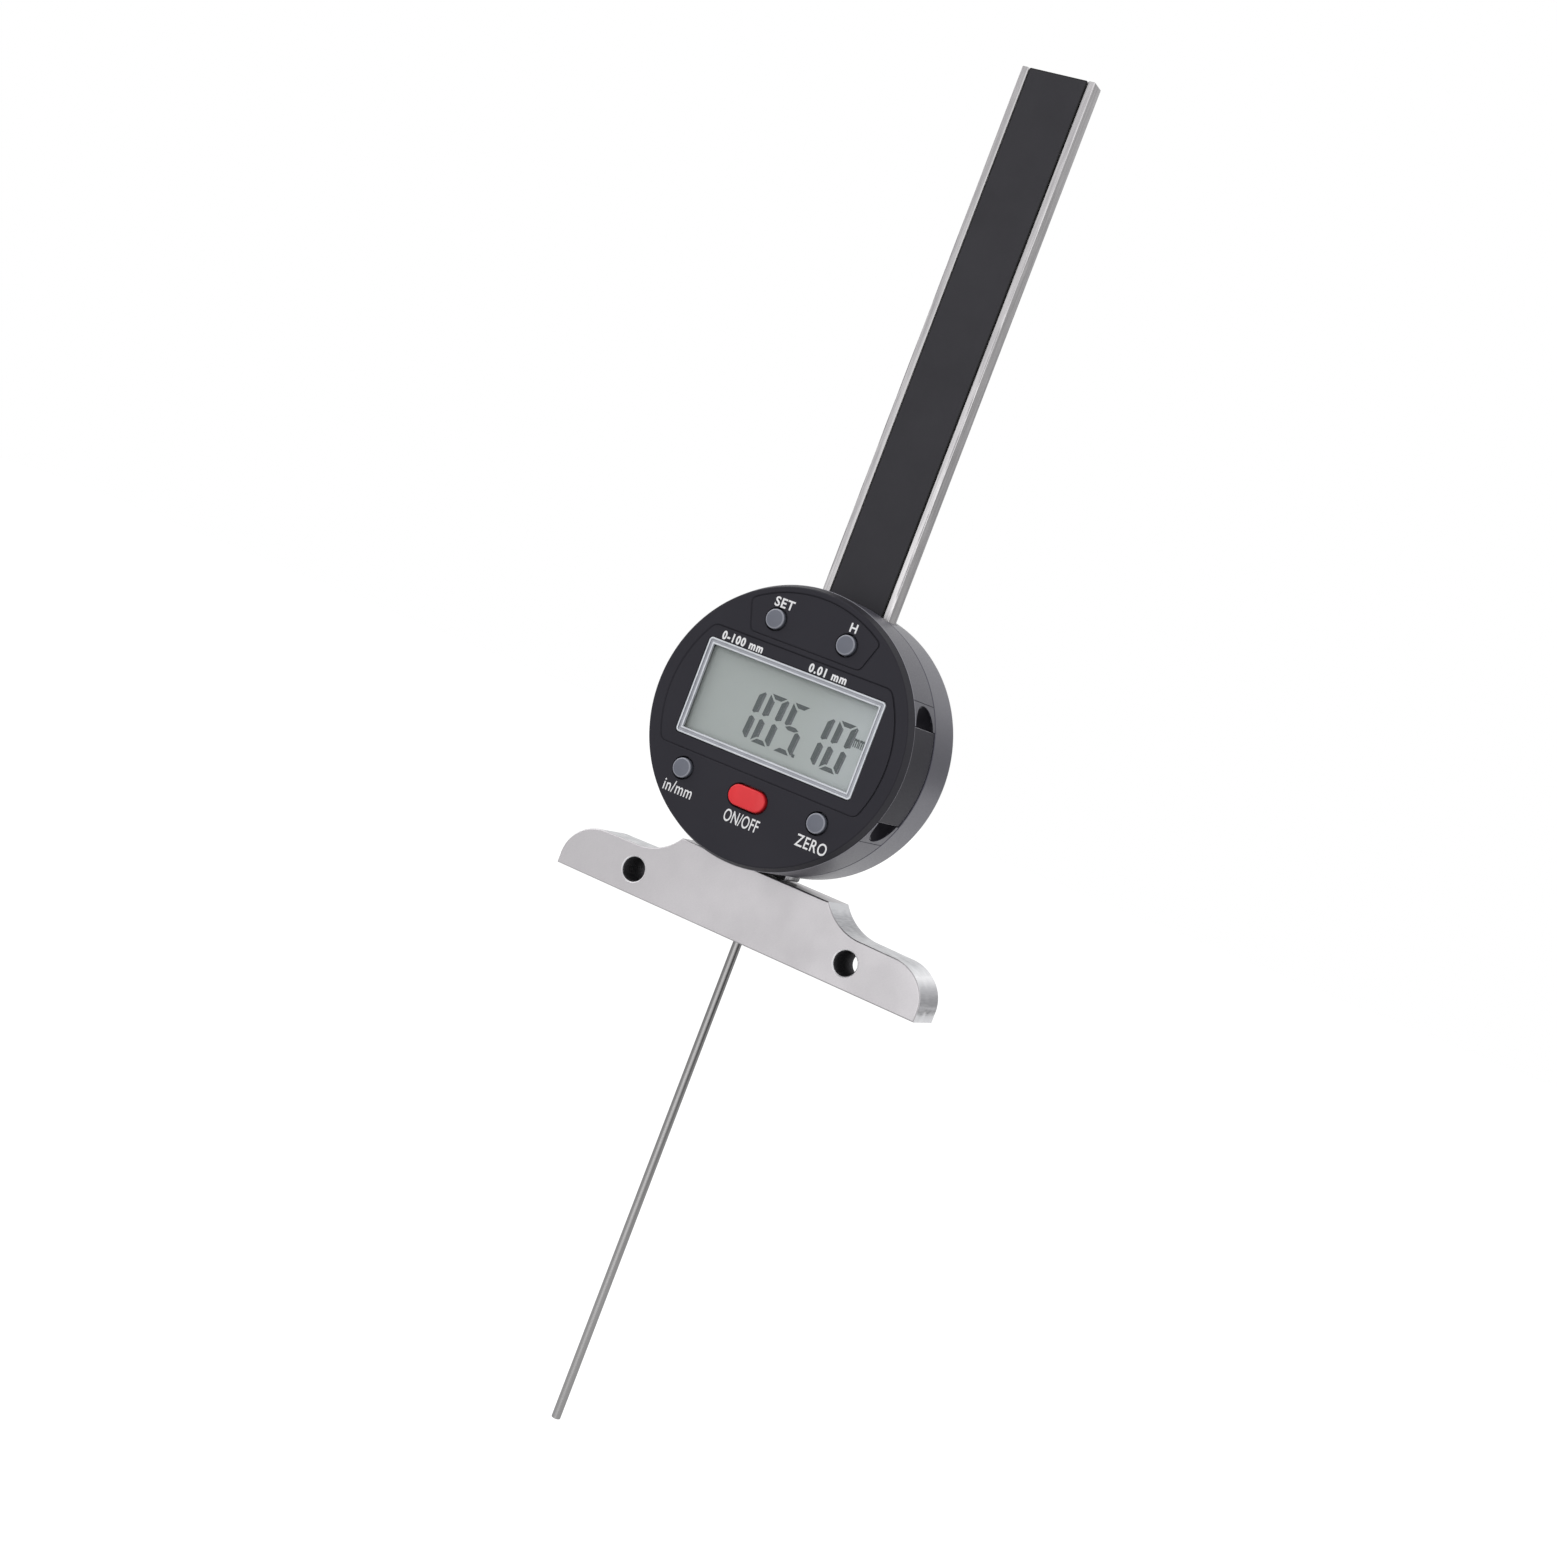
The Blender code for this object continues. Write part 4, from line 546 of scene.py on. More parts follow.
def strip_film():
    """Black polyester film glued over the scale: satin, darker along its cut edges."""
    material, tree, place = started("black_polyester_film")
    axes = node(tree, "SeparateXYZ", (place,)).outputs
    middle, half = (STRIP_TOP + STRIP_BOTTOM) / 2, (STRIP_TOP - STRIP_BOTTOM) / 2
    margins = []
    for axis, centre, reach in (("X", 0.0, STRIP_HALF), ("Z", middle, half)):
        off = node(tree, "Math", (axes[axis], centre), operation="SUBTRACT")
        off = node(tree, "Math", (off,), operation="ABSOLUTE")
        margins.append(node(tree, "Math", (reach, off), operation="SUBTRACT"))
    margin = node(tree, "Math", margins, operation="MINIMUM")
    flow = node(tree, "TexNoise", {"Vector": place, "Scale": 1 / (9 * MM), "Detail": 4.0})
    grain = node(tree, "TexNoise", {"Vector": place, "Scale": 1 / (0.2 * MM), "Detail": 2.0})
    film = node(tree, "ValToRGB", (flow,), ((0.3, "29282D"), (0.7, "2F2E33")))
    edge = node(tree, "MapRange", (margin, 0.12 * MM, 0.32 * MM, 1.0, 0.0))
    tone = node(tree, "Mix", {0: edge, 6: film, 7: linear("070708")}, data_type="RGBA")
    return wired(material, Base_Color=tone, Specular_IOR_Level=0.2,
                 Roughness=node(tree, "MapRange", (flow, 0.3, 0.7, 0.42, 0.50)),
                 Normal=node(tree, "Bump", {"Height": grain, "Strength": 0.12, "Distance": 0.02 * MM}))


def clear_acrylic():
    """Hard-coated acrylic window: almost no colour, and a thin even gloss over the display."""
    material, tree, place = started("clear_acrylic")
    haze = node(tree, "TexNoise", {"Vector": place, "Scale": 1 / (8 * MM), "Detail": 3.0})
    return wired(material, Base_Color=linear("E9EFEA"), IOR=1.49, Alpha=0.04,
                 Roughness=node(tree, "MapRange", (haze, 0.0, 1.0, 0.04, 0.10)))


def display_glass():
    """Reflective liquid crystal panel: grey-green, matt from its polariser, with painted light that makes it a
    touch lighter to the right."""
    material, tree, place = started("display_glass")
    grain = node(tree, "TexNoise", {"Vector": place, "Scale": 1 / (0.3 * MM), "Detail": 2.0}).outputs["Color"]
    cloud = node(tree, "TexNoise", {"Vector": place, "Scale": 1 / (22 * MM), "Detail": 2.0})
    # Painted light: lighter towards the right
    across = node(tree, "SeparateXYZ", (place,)).outputs["X"]
    slow = node(tree, "Math", (node(tree, "Math", (cloud, 0.3), operation="MULTIPLY"),
                               node(tree, "MapRange", (across, -19 * MM, 19 * MM, 0.0, 0.7))), operation="ADD")
    tone = node(tree, "ValToRGB", (slow,), ((0.1, "AAB1B0"), (0.55, "ADB4B3"), (0.85, "BAC1C3")))
    tone = node(tree, "Mix", {0: 0.04, 6: tone, 7: grain}, data_type="RGBA")
    return wired(material, Base_Color=tone, Roughness=0.5, Specular_IOR_Level=0.2)


def printed_ink(name, dense, thin, roughness=0.55, alpha=1.0, level=0.3):
    """Pad-printed ink: a dense matt film with tiny pinholes that vary its tone."""
    material, tree, place = started(name)
    pinholes = node(tree, "TexNoise", {"Vector": place, "Scale": 1 / (0.15 * MM), "Detail": 2.0})
    return wired(material, Base_Color=node(tree, "ValToRGB", (pinholes,), ((0.2, thin), (0.6, dense))),
                 Roughness=roughness, Alpha=alpha, Specular_IOR_Level=level)


def circuit_laminate():
    """Glass-fibre board under green resist: copper tracks show as lighter lines through the lacquer."""
    material, tree, place = started("circuit_laminate")
    track = node(tree, "TexVoronoi", {"Vector": place, "Scale": 1 / (2.2 * MM)}, distance="MANHATTAN")
    return wired(material, Base_Color=node(tree, "ValToRGB", (track,), ((0.32, "2B6446"), (0.36, "3E8259"))),
                 Roughness=0.38,
                 Normal=node(tree, "Bump", {"Height": track, "Strength": 0.2, "Distance": 0.03 * MM}))


BASE_STEEL = ground_steel("ground_stainless_base", "B1AEB0", "A8A6A9", (0.45, 0.25, 0.12), 0.38, 0.10, 0.16)
# Painted reflections for the base's ends and flanks
BASE_EDGE_PAINTED_REFLECTIONS = base_edge_painted_reflections()
# Painted highlight: near-white steel for the chamfers of the cross holes
CHAMFER_PAINTED_HIGHLIGHT = ground_steel("chamfer_painted_highlight", "F6F5F7", "EEEDF0", (0.2, 0.2, 0.2), 0.6)
BEAM_STEEL = housing_steel()
NECK_STEEL = neck_steel()
# Painted shadow: near-black steel for the neck's front
NECK_FRONT_PAINTED_SHADOW = ground_steel("neck_front_painted_shadow", "1C1C1E", "0C0C0D", (0.2, 0.2, 2.0), 0.50)
ROD_STEEL = bright_rod()
# Painted shade: dark steel for inside the cross holes
THREAD_PAINTED_SHADE = ground_steel("thread_painted_shade", "5C5B5E", "363538", (0.2, 0.4, 0.2), 0.55)
SCREW_STEEL = ground_steel("turned_screw_steel", "929294", "67676A", (0.12, 0.12, 0.12), 0.33)
CELL_STEEL = ground_steel("nickel_plated_cell", "B3B2AE", "9F9EA0", (1.0, 0.1, 0.1), 0.22)
SPRING_STEEL = ground_steel("bright_spring_strip", "B8B4A6", "989382", (2.0, 0.1, 0.1), 0.28)
BRONZE = ground_steel("sintered_bronze", "A9834F", "84602F", (0.12, 0.12, 0.12), 0.45, 0.3)
FACE_ABS = moulded_abs("moulded_abs_charcoal", "212025", "26252A", 0.50)
# Painted light: the same ABS, lighter, for the front shell's side wall
WALL_PAINTED_LIGHT_ABS = moulded_abs("moulded_abs_side_wall_painted_light", "38373F", "3E3D46", 0.40, level=0.85)
REAR_ABS = moulded_abs("moulded_abs_grey", "3D3C45", "43424C", 0.34, level=1.0)
TRAY_ABS = moulded_abs("moulded_abs_tray", "2C2B31", "333238", 0.50, level=0.14)
# Painted highlight: light grey lines for the rim's ledge and the tray's edges
EDGE_PAINTED_HIGHLIGHT = moulded_abs("abs_edge_painted_highlight", "84838A", "8D8C93", 0.36, level=0.5)
# Painted light: lighter grey for the floors of the finger notches
POCKET_PAINTED_LIGHT = moulded_abs("abs_pocket_painted_light", "77767B", "848388", 0.42, level=0.5)
STRIP_FILM = strip_film()
FRAME_SILVER = smooth_plastic("metallised_abs_frame", "CDD0D5", "BFC2C8", 0.30, metallic=0.35)
# Painted shade: darker silver for the frame's channel
FRAME_GROOVE_PAINTED_SHADE = smooth_plastic("metallised_abs_groove_painted_shade", "A2A4AB", "94969D", 0.36, metallic=0.35)
BUTTON_GREY = smooth_plastic("grey_button_plastic", "6A6D78", "656873", 0.38)
# Painted highlight: lighter grey for the buttons' shoulders
BUTTON_RIM_PAINTED_HIGHLIGHT = smooth_plastic("button_shoulder_painted_highlight", "999BA5", "8D8F99", 0.32)
BUTTON_RED = smooth_plastic("red_button_plastic", "EA3038", "E02830", 0.36)
LENS = clear_acrylic()
GLASS = display_glass()
WHITE_INK = printed_ink("white_pad_print", "F2F2F4", "E4E4E6")
SEGMENT_INK = printed_ink("liquid_crystal_segments", "52585B", "494F52", 0.5, level=0.1)
SHADE_INK = printed_ink("liquid_crystal_shade", "777B82", "71757C", 0.6, 0.5, 0.0)
LAMINATE = circuit_laminate()
CHIP_EPOXY = moulded_abs("moulded_chip_epoxy", "1B1B1D", "242427", 0.55, grain_mm=0.15)
RUBBER = moulded_abs("moulded_silicone_rubber", "19191B", "222224", 0.75, grain_mm=0.3)
NYLON = moulded_abs("machined_nylon", "C8C6BD", "D2D0C8", 0.55, grain_mm=0.3)

CAD_FINISHES = {
    "screw_steel": SCREW_STEEL, "bronze": BRONZE, "spring_steel": SPRING_STEEL, "polished_steel": CELL_STEEL,
    "stainless_steel": BEAM_STEEL, "black_strip": STRIP_FILM, "charcoal_shell": FACE_ABS,
    "grey_shell": REAR_ABS, "silver_frame": FRAME_SILVER, "clear_lens": LENS, "display_glass": GLASS,
    "grey_button": BUTTON_GREY, "red_button": BUTTON_RED, "board_green": LAMINATE,
    "chip_black": CHIP_EPOXY, "rubber_black": RUBBER, "white_nylon": NYLON,
}


def finish_cad_nodes():
    """Every CAD node gets the finish of its material slot."""
    for part in frame["record"]["subparts"]:
        mesh = frame["nodes"][part["node"]].data
        mesh.materials.clear()
        mesh.materials.append(CAD_FINISHES[part["material_slot"]])


def refined(node_name, edge, material, body="gauge"):
    """Copy of a CAD node with its sharp edges broken by a small round."""
    mesh = frame["nodes"][node_name].data.copy()
    work = bmesh.new()
    work.from_mesh(mesh)
    bmesh.ops.remove_doubles(work, verts=work.verts, dist=MERGE)
    bmesh.ops.dissolve_limit(work, angle_limit=math.radians(1), verts=work.verts, edges=work.edges)
    work.to_mesh(mesh)
    work.free()
    piece = placed(node_name + "_fine", mesh)
    soft = piece.modifiers.new("Broken edges", "BEVEL")
    soft.width = edge
    soft.segments = 2
    soft.limit_method = "ANGLE"
    soft.angle_limit = math.radians(40)
    soft.use_clamp_overlap = True
    return dressed(piece, material, body, [node_name])


# Base, neck, rod and housing

def wing_height(x):
    """Height of the base's upper edge over the distance x from the middle: a flat top, a hollow flank that
    is a circular arc down to the wing, a level wing, and a quarter-ellipse tip."""
    x = np.abs(x)
    run, rise = HOLLOW_X - SHOULDER_X, BASE_HEIGHT - HOLLOW_HEIGHT
    radius = (run ** 2 + rise ** 2) / (2 * rise)
    flank = HOLLOW_HEIGHT + radius - np.sqrt(np.maximum(radius ** 2 - (HOLLOW_X - x) ** 2, 0))
    ease = (1 - np.cos(np.pi * np.clip((x - HOLLOW_X) / (CROWN_X - HOLLOW_X), 0, 1))) / 2
    level = HOLLOW_HEIGHT + (WING_HEIGHT - HOLLOW_HEIGHT) * ease
    share = np.clip((x - CROWN_X) / (BASE_HALF - CROWN_X), 0, 1)
    tip = WING_HEIGHT - TIP_HEIGHT + TIP_HEIGHT * np.sqrt(1 - share ** 2)
    spans, flat = [x <= SHOULDER_X, x <= HOLLOW_X, x <= CROWN_X], np.full_like(x, BASE_HEIGHT)
    return np.select(spans, [flat, flank, level], tip)


def cross_hole(side):
    """Threaded cross hole as a cutting tool: a lathe profile with V ridges of 0.8 mm pitch between
    chamfers."""
    ridges, thread_depth, chamfer = 12, 0.2 * MM, 0.24 * MM
    reach = -BASE_FRONT_Y
    depth = np.linspace(chamfer - reach, reach - chamfer, 2 * ridges + 1)
    radius = CROSS_HOLE_RADIUS - np.where(np.arange(2 * ridges + 1) % 2 == 0, 0.0, thread_depth)
    wide = CROSS_HOLE_RADIUS + chamfer
    profile = [(0, -reach - OVERRUN), (wide, -reach - OVERRUN), (wide, -reach), *zip(radius, depth),
               (wide, reach), (wide, reach + OVERRUN), (0, reach + OVERRUN)]
    return lathe("tool", profile, (side * CROSS_HOLE_X, CROSS_HOLE_Z), steps=HOLE_STEPS)


def make_base():
    """Ground steel base: the wing outline carried through its depth with softly broken edges."""
    tip = CROWN_X + (BASE_HALF - CROWN_X) * np.sin(np.linspace(math.pi / 2, 0, 60))
    wing, flat = np.linspace(CROWN_X, SHOULDER_X, 120)[1:], np.linspace(SHOULDER_X, 0, 12)[1:-1]
    half = np.concatenate([tip, wing, flat])
    x = np.concatenate([half, [0.0], -half[::-1]])
    outline = np.concatenate([[(BASE_HALF, 0.0)], np.stack([x, wing_height(x)], axis=1), [(-BASE_HALF, 0.0)]])
    base = plate("base_body", outline, rounded(0.35 * MM, BASE_FRONT_Y, -BASE_FRONT_Y, 5))
    cut(base, cross_hole(-1), cross_hole(1))
    top = BASE_HEIGHT + OVERRUN
    bush_seat, rod_way, seat_top = 2.0 * MM, 1.25 * MM, 6.6 * MM
    screw_seat, screw_way, screw_depth = 2.3 * MM, 1.3 * MM, 2.5 * MM
    spots = [(side * BASE_SCREW_X, BASE_SCREW_Y) for side in (-1, 1)]
    for wide, narrow, step, spot in ((bush_seat, rod_way, seat_top, (0.0, 0.0)),
                                     *((screw_seat, screw_way, screw_depth, spot) for spot in spots)):
        profile = [(0, -OVERRUN), (wide, -OVERRUN), (wide, step), (narrow, step), (narrow, top), (0, top)]
        cut(base, lathe("tool", profile, spot, "Z", HOLE_STEPS))
    dressed(base, BASE_STEEL, nodes=["base"])

    def in_hole(centres):
        """Faces inside a cross hole, its chamfers too."""
        away = np.hypot(np.abs(centres[:, 0]) - CROSS_HOLE_X, centres[:, 2] - CROSS_HOLE_Z)
        return (away < CROSS_HOLE_RADIUS + 0.25 * MM) & (np.abs(centres[:, 1]) < -BASE_FRONT_Y - 0.01 * MM)

    # Painted reflections on the ends and flanks beyond the shoulders
    second_finish(base, BASE_EDGE_PAINTED_REFLECTIONS, lambda centres, normals: (np.abs(centres[:, 0]) > SHOULDER_X) & (
        np.abs(normals[:, 1]) < 0.3) & (normals[:, 2] > -0.5))
    # Painted highlight on the hole chamfers
    second_finish(base, CHAMFER_PAINTED_HIGHLIGHT, lambda centres, normals: in_hole(centres))
    # Painted shade inside the holes
    second_finish(base, THREAD_PAINTED_SHADE, lambda centres, normals: in_hole(centres) & (
        np.abs(centres[:, 1]) < -BASE_FRONT_Y - 0.25 * MM))


def make_base_screws():
    """Socket head screws under the base: a round head with a hexagon recess over a plain shank."""
    for number, side in ((1, -1), (2, 1)):
        low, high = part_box(f"base_screw_{number}")
        spot = (side * BASE_SCREW_X, BASE_SCREW_Y)
        head, shank, edge, height = (high[0] - low[0]) / 2, 1.0 * MM, 0.15 * MM, 1.6 * MM
        profile = [(0, low[2]), (head - edge, low[2]), (head, low[2] + edge), (head, low[2] + height),
                   (shank, low[2] + height), (shank, high[2] - edge), (shank - edge, high[2]), (0, high[2])]
        screw = lathe(f"base_screw_{number}_turned", profile, spot, "Z", 64)
        hexagon = arc(spot, 1.1 * MM, 1.1 * MM, 0, 300, 5)
        cut(screw, plate("tool", hexagon, [(0, low[2] - OVERRUN), (0, low[2] + 1.0 * MM)], "Z"))
        dressed(screw, SCREW_STEEL, nodes=[f"base_screw_{number}"])


def make_rod():
    """Ground rod with a tiny chamfer at its flat tip."""
    low, high = (corner[2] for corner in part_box("measuring_rod"))
    radius, spigot, edge = 0.95 * MM, 0.6 * MM, 0.12 * MM
    shoulder = high - 4.0 * MM
    profile = [(0, low), (radius - edge, low), (radius - 0.3 * edge, low + 0.3 * edge), (radius, low + edge),
               (radius, shoulder), (spigot, shoulder), (spigot, high), (0, high)]
    rod = lathe("ground_rod", profile, axis="Z", steps=64)
    dressed(rod, ROD_STEEL, "rod", ["measuring_rod"])


def make_housing():
    """Guide housing: its section, a bar with a stepped channel in front and a slotted rib behind, carried
    up from the neck, with broken edges along the strip's seat."""
    slot_half, slot_back, slot_front = 2.1 * MM, 1.6 * MM, -2.0 * MM
    channel_half, channel_front, seat_half = 5.1 * MM, -4.4 * MM, 6.5 * MM
    lip, edge, bend, rib_edge, end_edge = 0.22 * MM, 0.25 * MM, 0.07 * MM, 0.1 * MM, 0.084 * MM
    right = np.array([
        (slot_half, slot_back), (slot_half, slot_front), (channel_half, slot_front),
        (channel_half, channel_front), (seat_half, channel_front), (seat_half, BEAM_FRONT_Y + lip),
        (seat_half + lip, BEAM_FRONT_Y), (BEAM_HALF - edge, BEAM_FRONT_Y),
        (BEAM_HALF - bend, BEAM_FRONT_Y + bend), (BEAM_HALF, BEAM_FRONT_Y + edge),
        (BEAM_HALF, BEAM_BACK_Y - edge), (BEAM_HALF - bend, BEAM_BACK_Y - bend),
        (BEAM_HALF - edge, BEAM_BACK_Y), (RIB_HALF, BEAM_BACK_Y), (RIB_HALF, RIB_BACK_Y - rib_edge),
        (RIB_HALF - rib_edge, RIB_BACK_Y)])
    outline = np.concatenate([right, right[::-1] * (-1, 1)])
    bar = plate("housing_bar", outline, [(end_edge, BEAM_BOTTOM), (0, BEAM_BOTTOM + end_edge),
                                         (0, BEAM_TOP - end_edge), (end_edge, BEAM_TOP)], "Z")
    hole, hole_depth = 1.0 * MM, 3.0 * MM
    for side in (-1, 1):
        spot = (side * BODY_SCREW_X, BODY_SCREW_Z)
        cut(bar, column(hole, BEAM_BACK_Y - hole_depth, BEAM_BACK_Y + OVERRUN, spot))
    plug_hole, plug_hole_start, plug_hole_height = 0.9 * MM, 1.3 * MM, 180.1 * MM
    cut(bar, column(plug_hole, plug_hole_start, RIB_BACK_Y + OVERRUN, (0.0, plug_hole_height)))
    dressed(bar, BEAM_STEEL, nodes=["guide_housing"])


def make_strip():
    """Black strip with slightly rounded corners and edges, let into the housing's front."""
    low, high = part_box("cover_strip")
    outline = rectangle(STRIP_HALF, (high[2] - low[2]) / 2, 0.25 * MM, (0.0, (low[2] + high[2]) / 2), 4)
    strip = plate("film_strip", outline, rounded(0.08 * MM, low[1], high[1], 2))
    dressed(strip, STRIP_FILM, nodes=["cover_strip"])


def make_small_blocks():
    """Machined and moulded blocks inside and below the head, with their edges broken."""
    neck = refined("neck_block", 0.08 * MM, NECK_STEEL)
    # Painted shadow on the neck's front faces
    second_finish(neck, NECK_FRONT_PAINTED_SHADOW, lambda centres, normals: normals[:, 1] < -0.5)
    refined("end_plug", 0.12 * MM, RUBBER)
    refined("stop_bumper", 0.2 * MM, RUBBER)
    refined("carriage", 0.08 * MM, NYLON, "rod")
    refined("scale_board", 0.05 * MM, LAMINATE)
    refined("link_connector", 0.15 * MM, CHIP_EPOXY)
    refined("controller_chip", 0.12 * MM, CHIP_EPOXY)
    for number in range(1, 6):
        refined(f"button_switch_{number}", 0.15 * MM, CHIP_EPOXY)
    for number in (1, 2):
        refined(f"contact_strip_{number}", 0.12 * MM, RUBBER)


# Head

def panel_outline():
    """Outline of the raised panel round the display: two arcs about the head's centre joined above and
    below by level lines."""
    centre = (0.0, HEAD_CENTRE)
    right = arc(centre, 24.6 * MM, 24.6 * MM, -25.0, 35.9, 60)
    left = arc(centre, 24.6 * MM, 24.6 * MM, 144.1, 205.0, 60)
    return softened(np.concatenate([right, left]), 2.0 * MM)


def button_panel_outline():
    """Outline of the raised panel round the two upper buttons: an arc near the rim over slanting sides and
    a level foot."""
    centre = (0.0, HEAD_CENTRE)
    top = arc(centre, 26.05 * MM, 26.05 * MM, 56.4, 123.6, 60)
    foot = np.array([(-12.3 * MM, 59.2 * MM), (12.3 * MM, 59.2 * MM)])
    return softened(np.concatenate([top, foot]), 1.6 * MM)


def scoop(side):
    """Finger notch as a cutting tool: from the arched mouth each level closes in on a deep point near the
    seam, to the square root of one minus the depth's square, so that the front side slopes and the rear
    side drops."""
    seam = HEAD_CENTRE + side * TRAY_HALF_HEIGHT
    middle = (NOTCH_MIDDLE_Y, seam)
    mouth = np.concatenate([arc(middle, NOTCH_HALF_WIDTH, side * NOTCH_HEIGHT, 0, 180, 48),
                            arc(middle, NOTCH_HALF_WIDTH, side * 0.5 * MM, 180, 360, 16)[1:-1]])
    start, sink = 25.2 * MM, 2.6 * MM
    deep = np.array([NOTCH_MIDDLE_Y + 2.6 * MM, seam - side * 0.2 * MM])
    depths = np.concatenate([[HEAD_RADIUS + OVERRUN, start], start - sink * np.linspace(0.1, 0.995, 28)])
    close = np.concatenate([[1.0, 1.0], np.sqrt(1 - np.linspace(0.1, 0.995, 28) ** 2)])
    spots = deep + (mouth[None] - deep) * close[:, None, None]
    levels = np.repeat(depths[:, None], len(mouth), axis=1)
    return surface("tool", along("X", spots[..., 0], spots[..., 1], levels))


def notch_wall(side):
    """Solid backing behind a notch: a slice of a ring inside the side wall."""
    angles = (20.9, 35.0) if side > 0 else (-35.0, -20.9)
    centre = (0.0, HEAD_CENTRE)
    outer = arc(centre, 27.0 * MM, 27.0 * MM, *angles, 24)
    inner = arc(centre, 21.6 * MM, 21.6 * MM, *angles, 24)[::-1]
    return plate("tool", np.concatenate([outer, inner]), [(0, FACE_BACK_Y - 0.5 * MM), (0, FRONT_END_Y)])


def window_seam(side):
    """Cutting tool for the fine moulded line across the side wall beyond a finger notch."""
    height = HEAD_CENTRE + side * WINDOW_HALF_HEIGHT
    angle = math.asin(WINDOW_HALF_HEIGHT / HEAD_RADIUS)
    x = HEAD_RADIUS * math.cos(angle)
    half, depth = 0.09 * MM, 0.16 * MM
    outward = np.array([math.cos(angle), side * math.sin(angle)])
    aside = np.array([-outward[1], outward[0]])
    spot = np.array([x, height])
    above = spot + outward * depth
    corners = np.array([above + aside * half * 2, spot - outward * depth, above - aside * half * 2])
    return plate("tool", corners, [(0, WINDOW_FRONT_Y), (0, FRONT_END_Y + OVERRUN)])


def button_hole(length, width, centre):
    """Button opening with a small broken edge at the face."""
    outline = stadium(length + 2 * GAP, width + 2 * GAP, centre)
    return plate("tool", outline, [(-0.3 * MM, FACE_Y - 0.2 * MM), (0.0, FACE_Y + 0.1 * MM),
                                   (0.0, FACE_BACK_Y + OVERRUN)])


BUTTONS = {
    "set_button": (-8.0 * MM, 62.8 * MM, 4.0 * MM, 4.0 * MM),
    "hold_button": (8.0 * MM, 62.8 * MM, 4.0 * MM, 4.0 * MM),
    "unit_button": (-15.5 * MM, 29.2 * MM, 4.0 * MM, 4.0 * MM),
    "zero_button": (15.5 * MM, 29.2 * MM, 4.0 * MM, 4.0 * MM),
    "power_button": (0.0, 28.5 * MM, 8.2 * MM, 4.2 * MM),
}


def boss_spots():
    """Places (x, z) of the four screw bosses."""
    return [(BOSS_CIRCLE * math.cos(math.radians(a)), HEAD_CENTRE + BOSS_CIRCLE * math.sin(math.radians(a)))
            for a in BOSS_ANGLES]


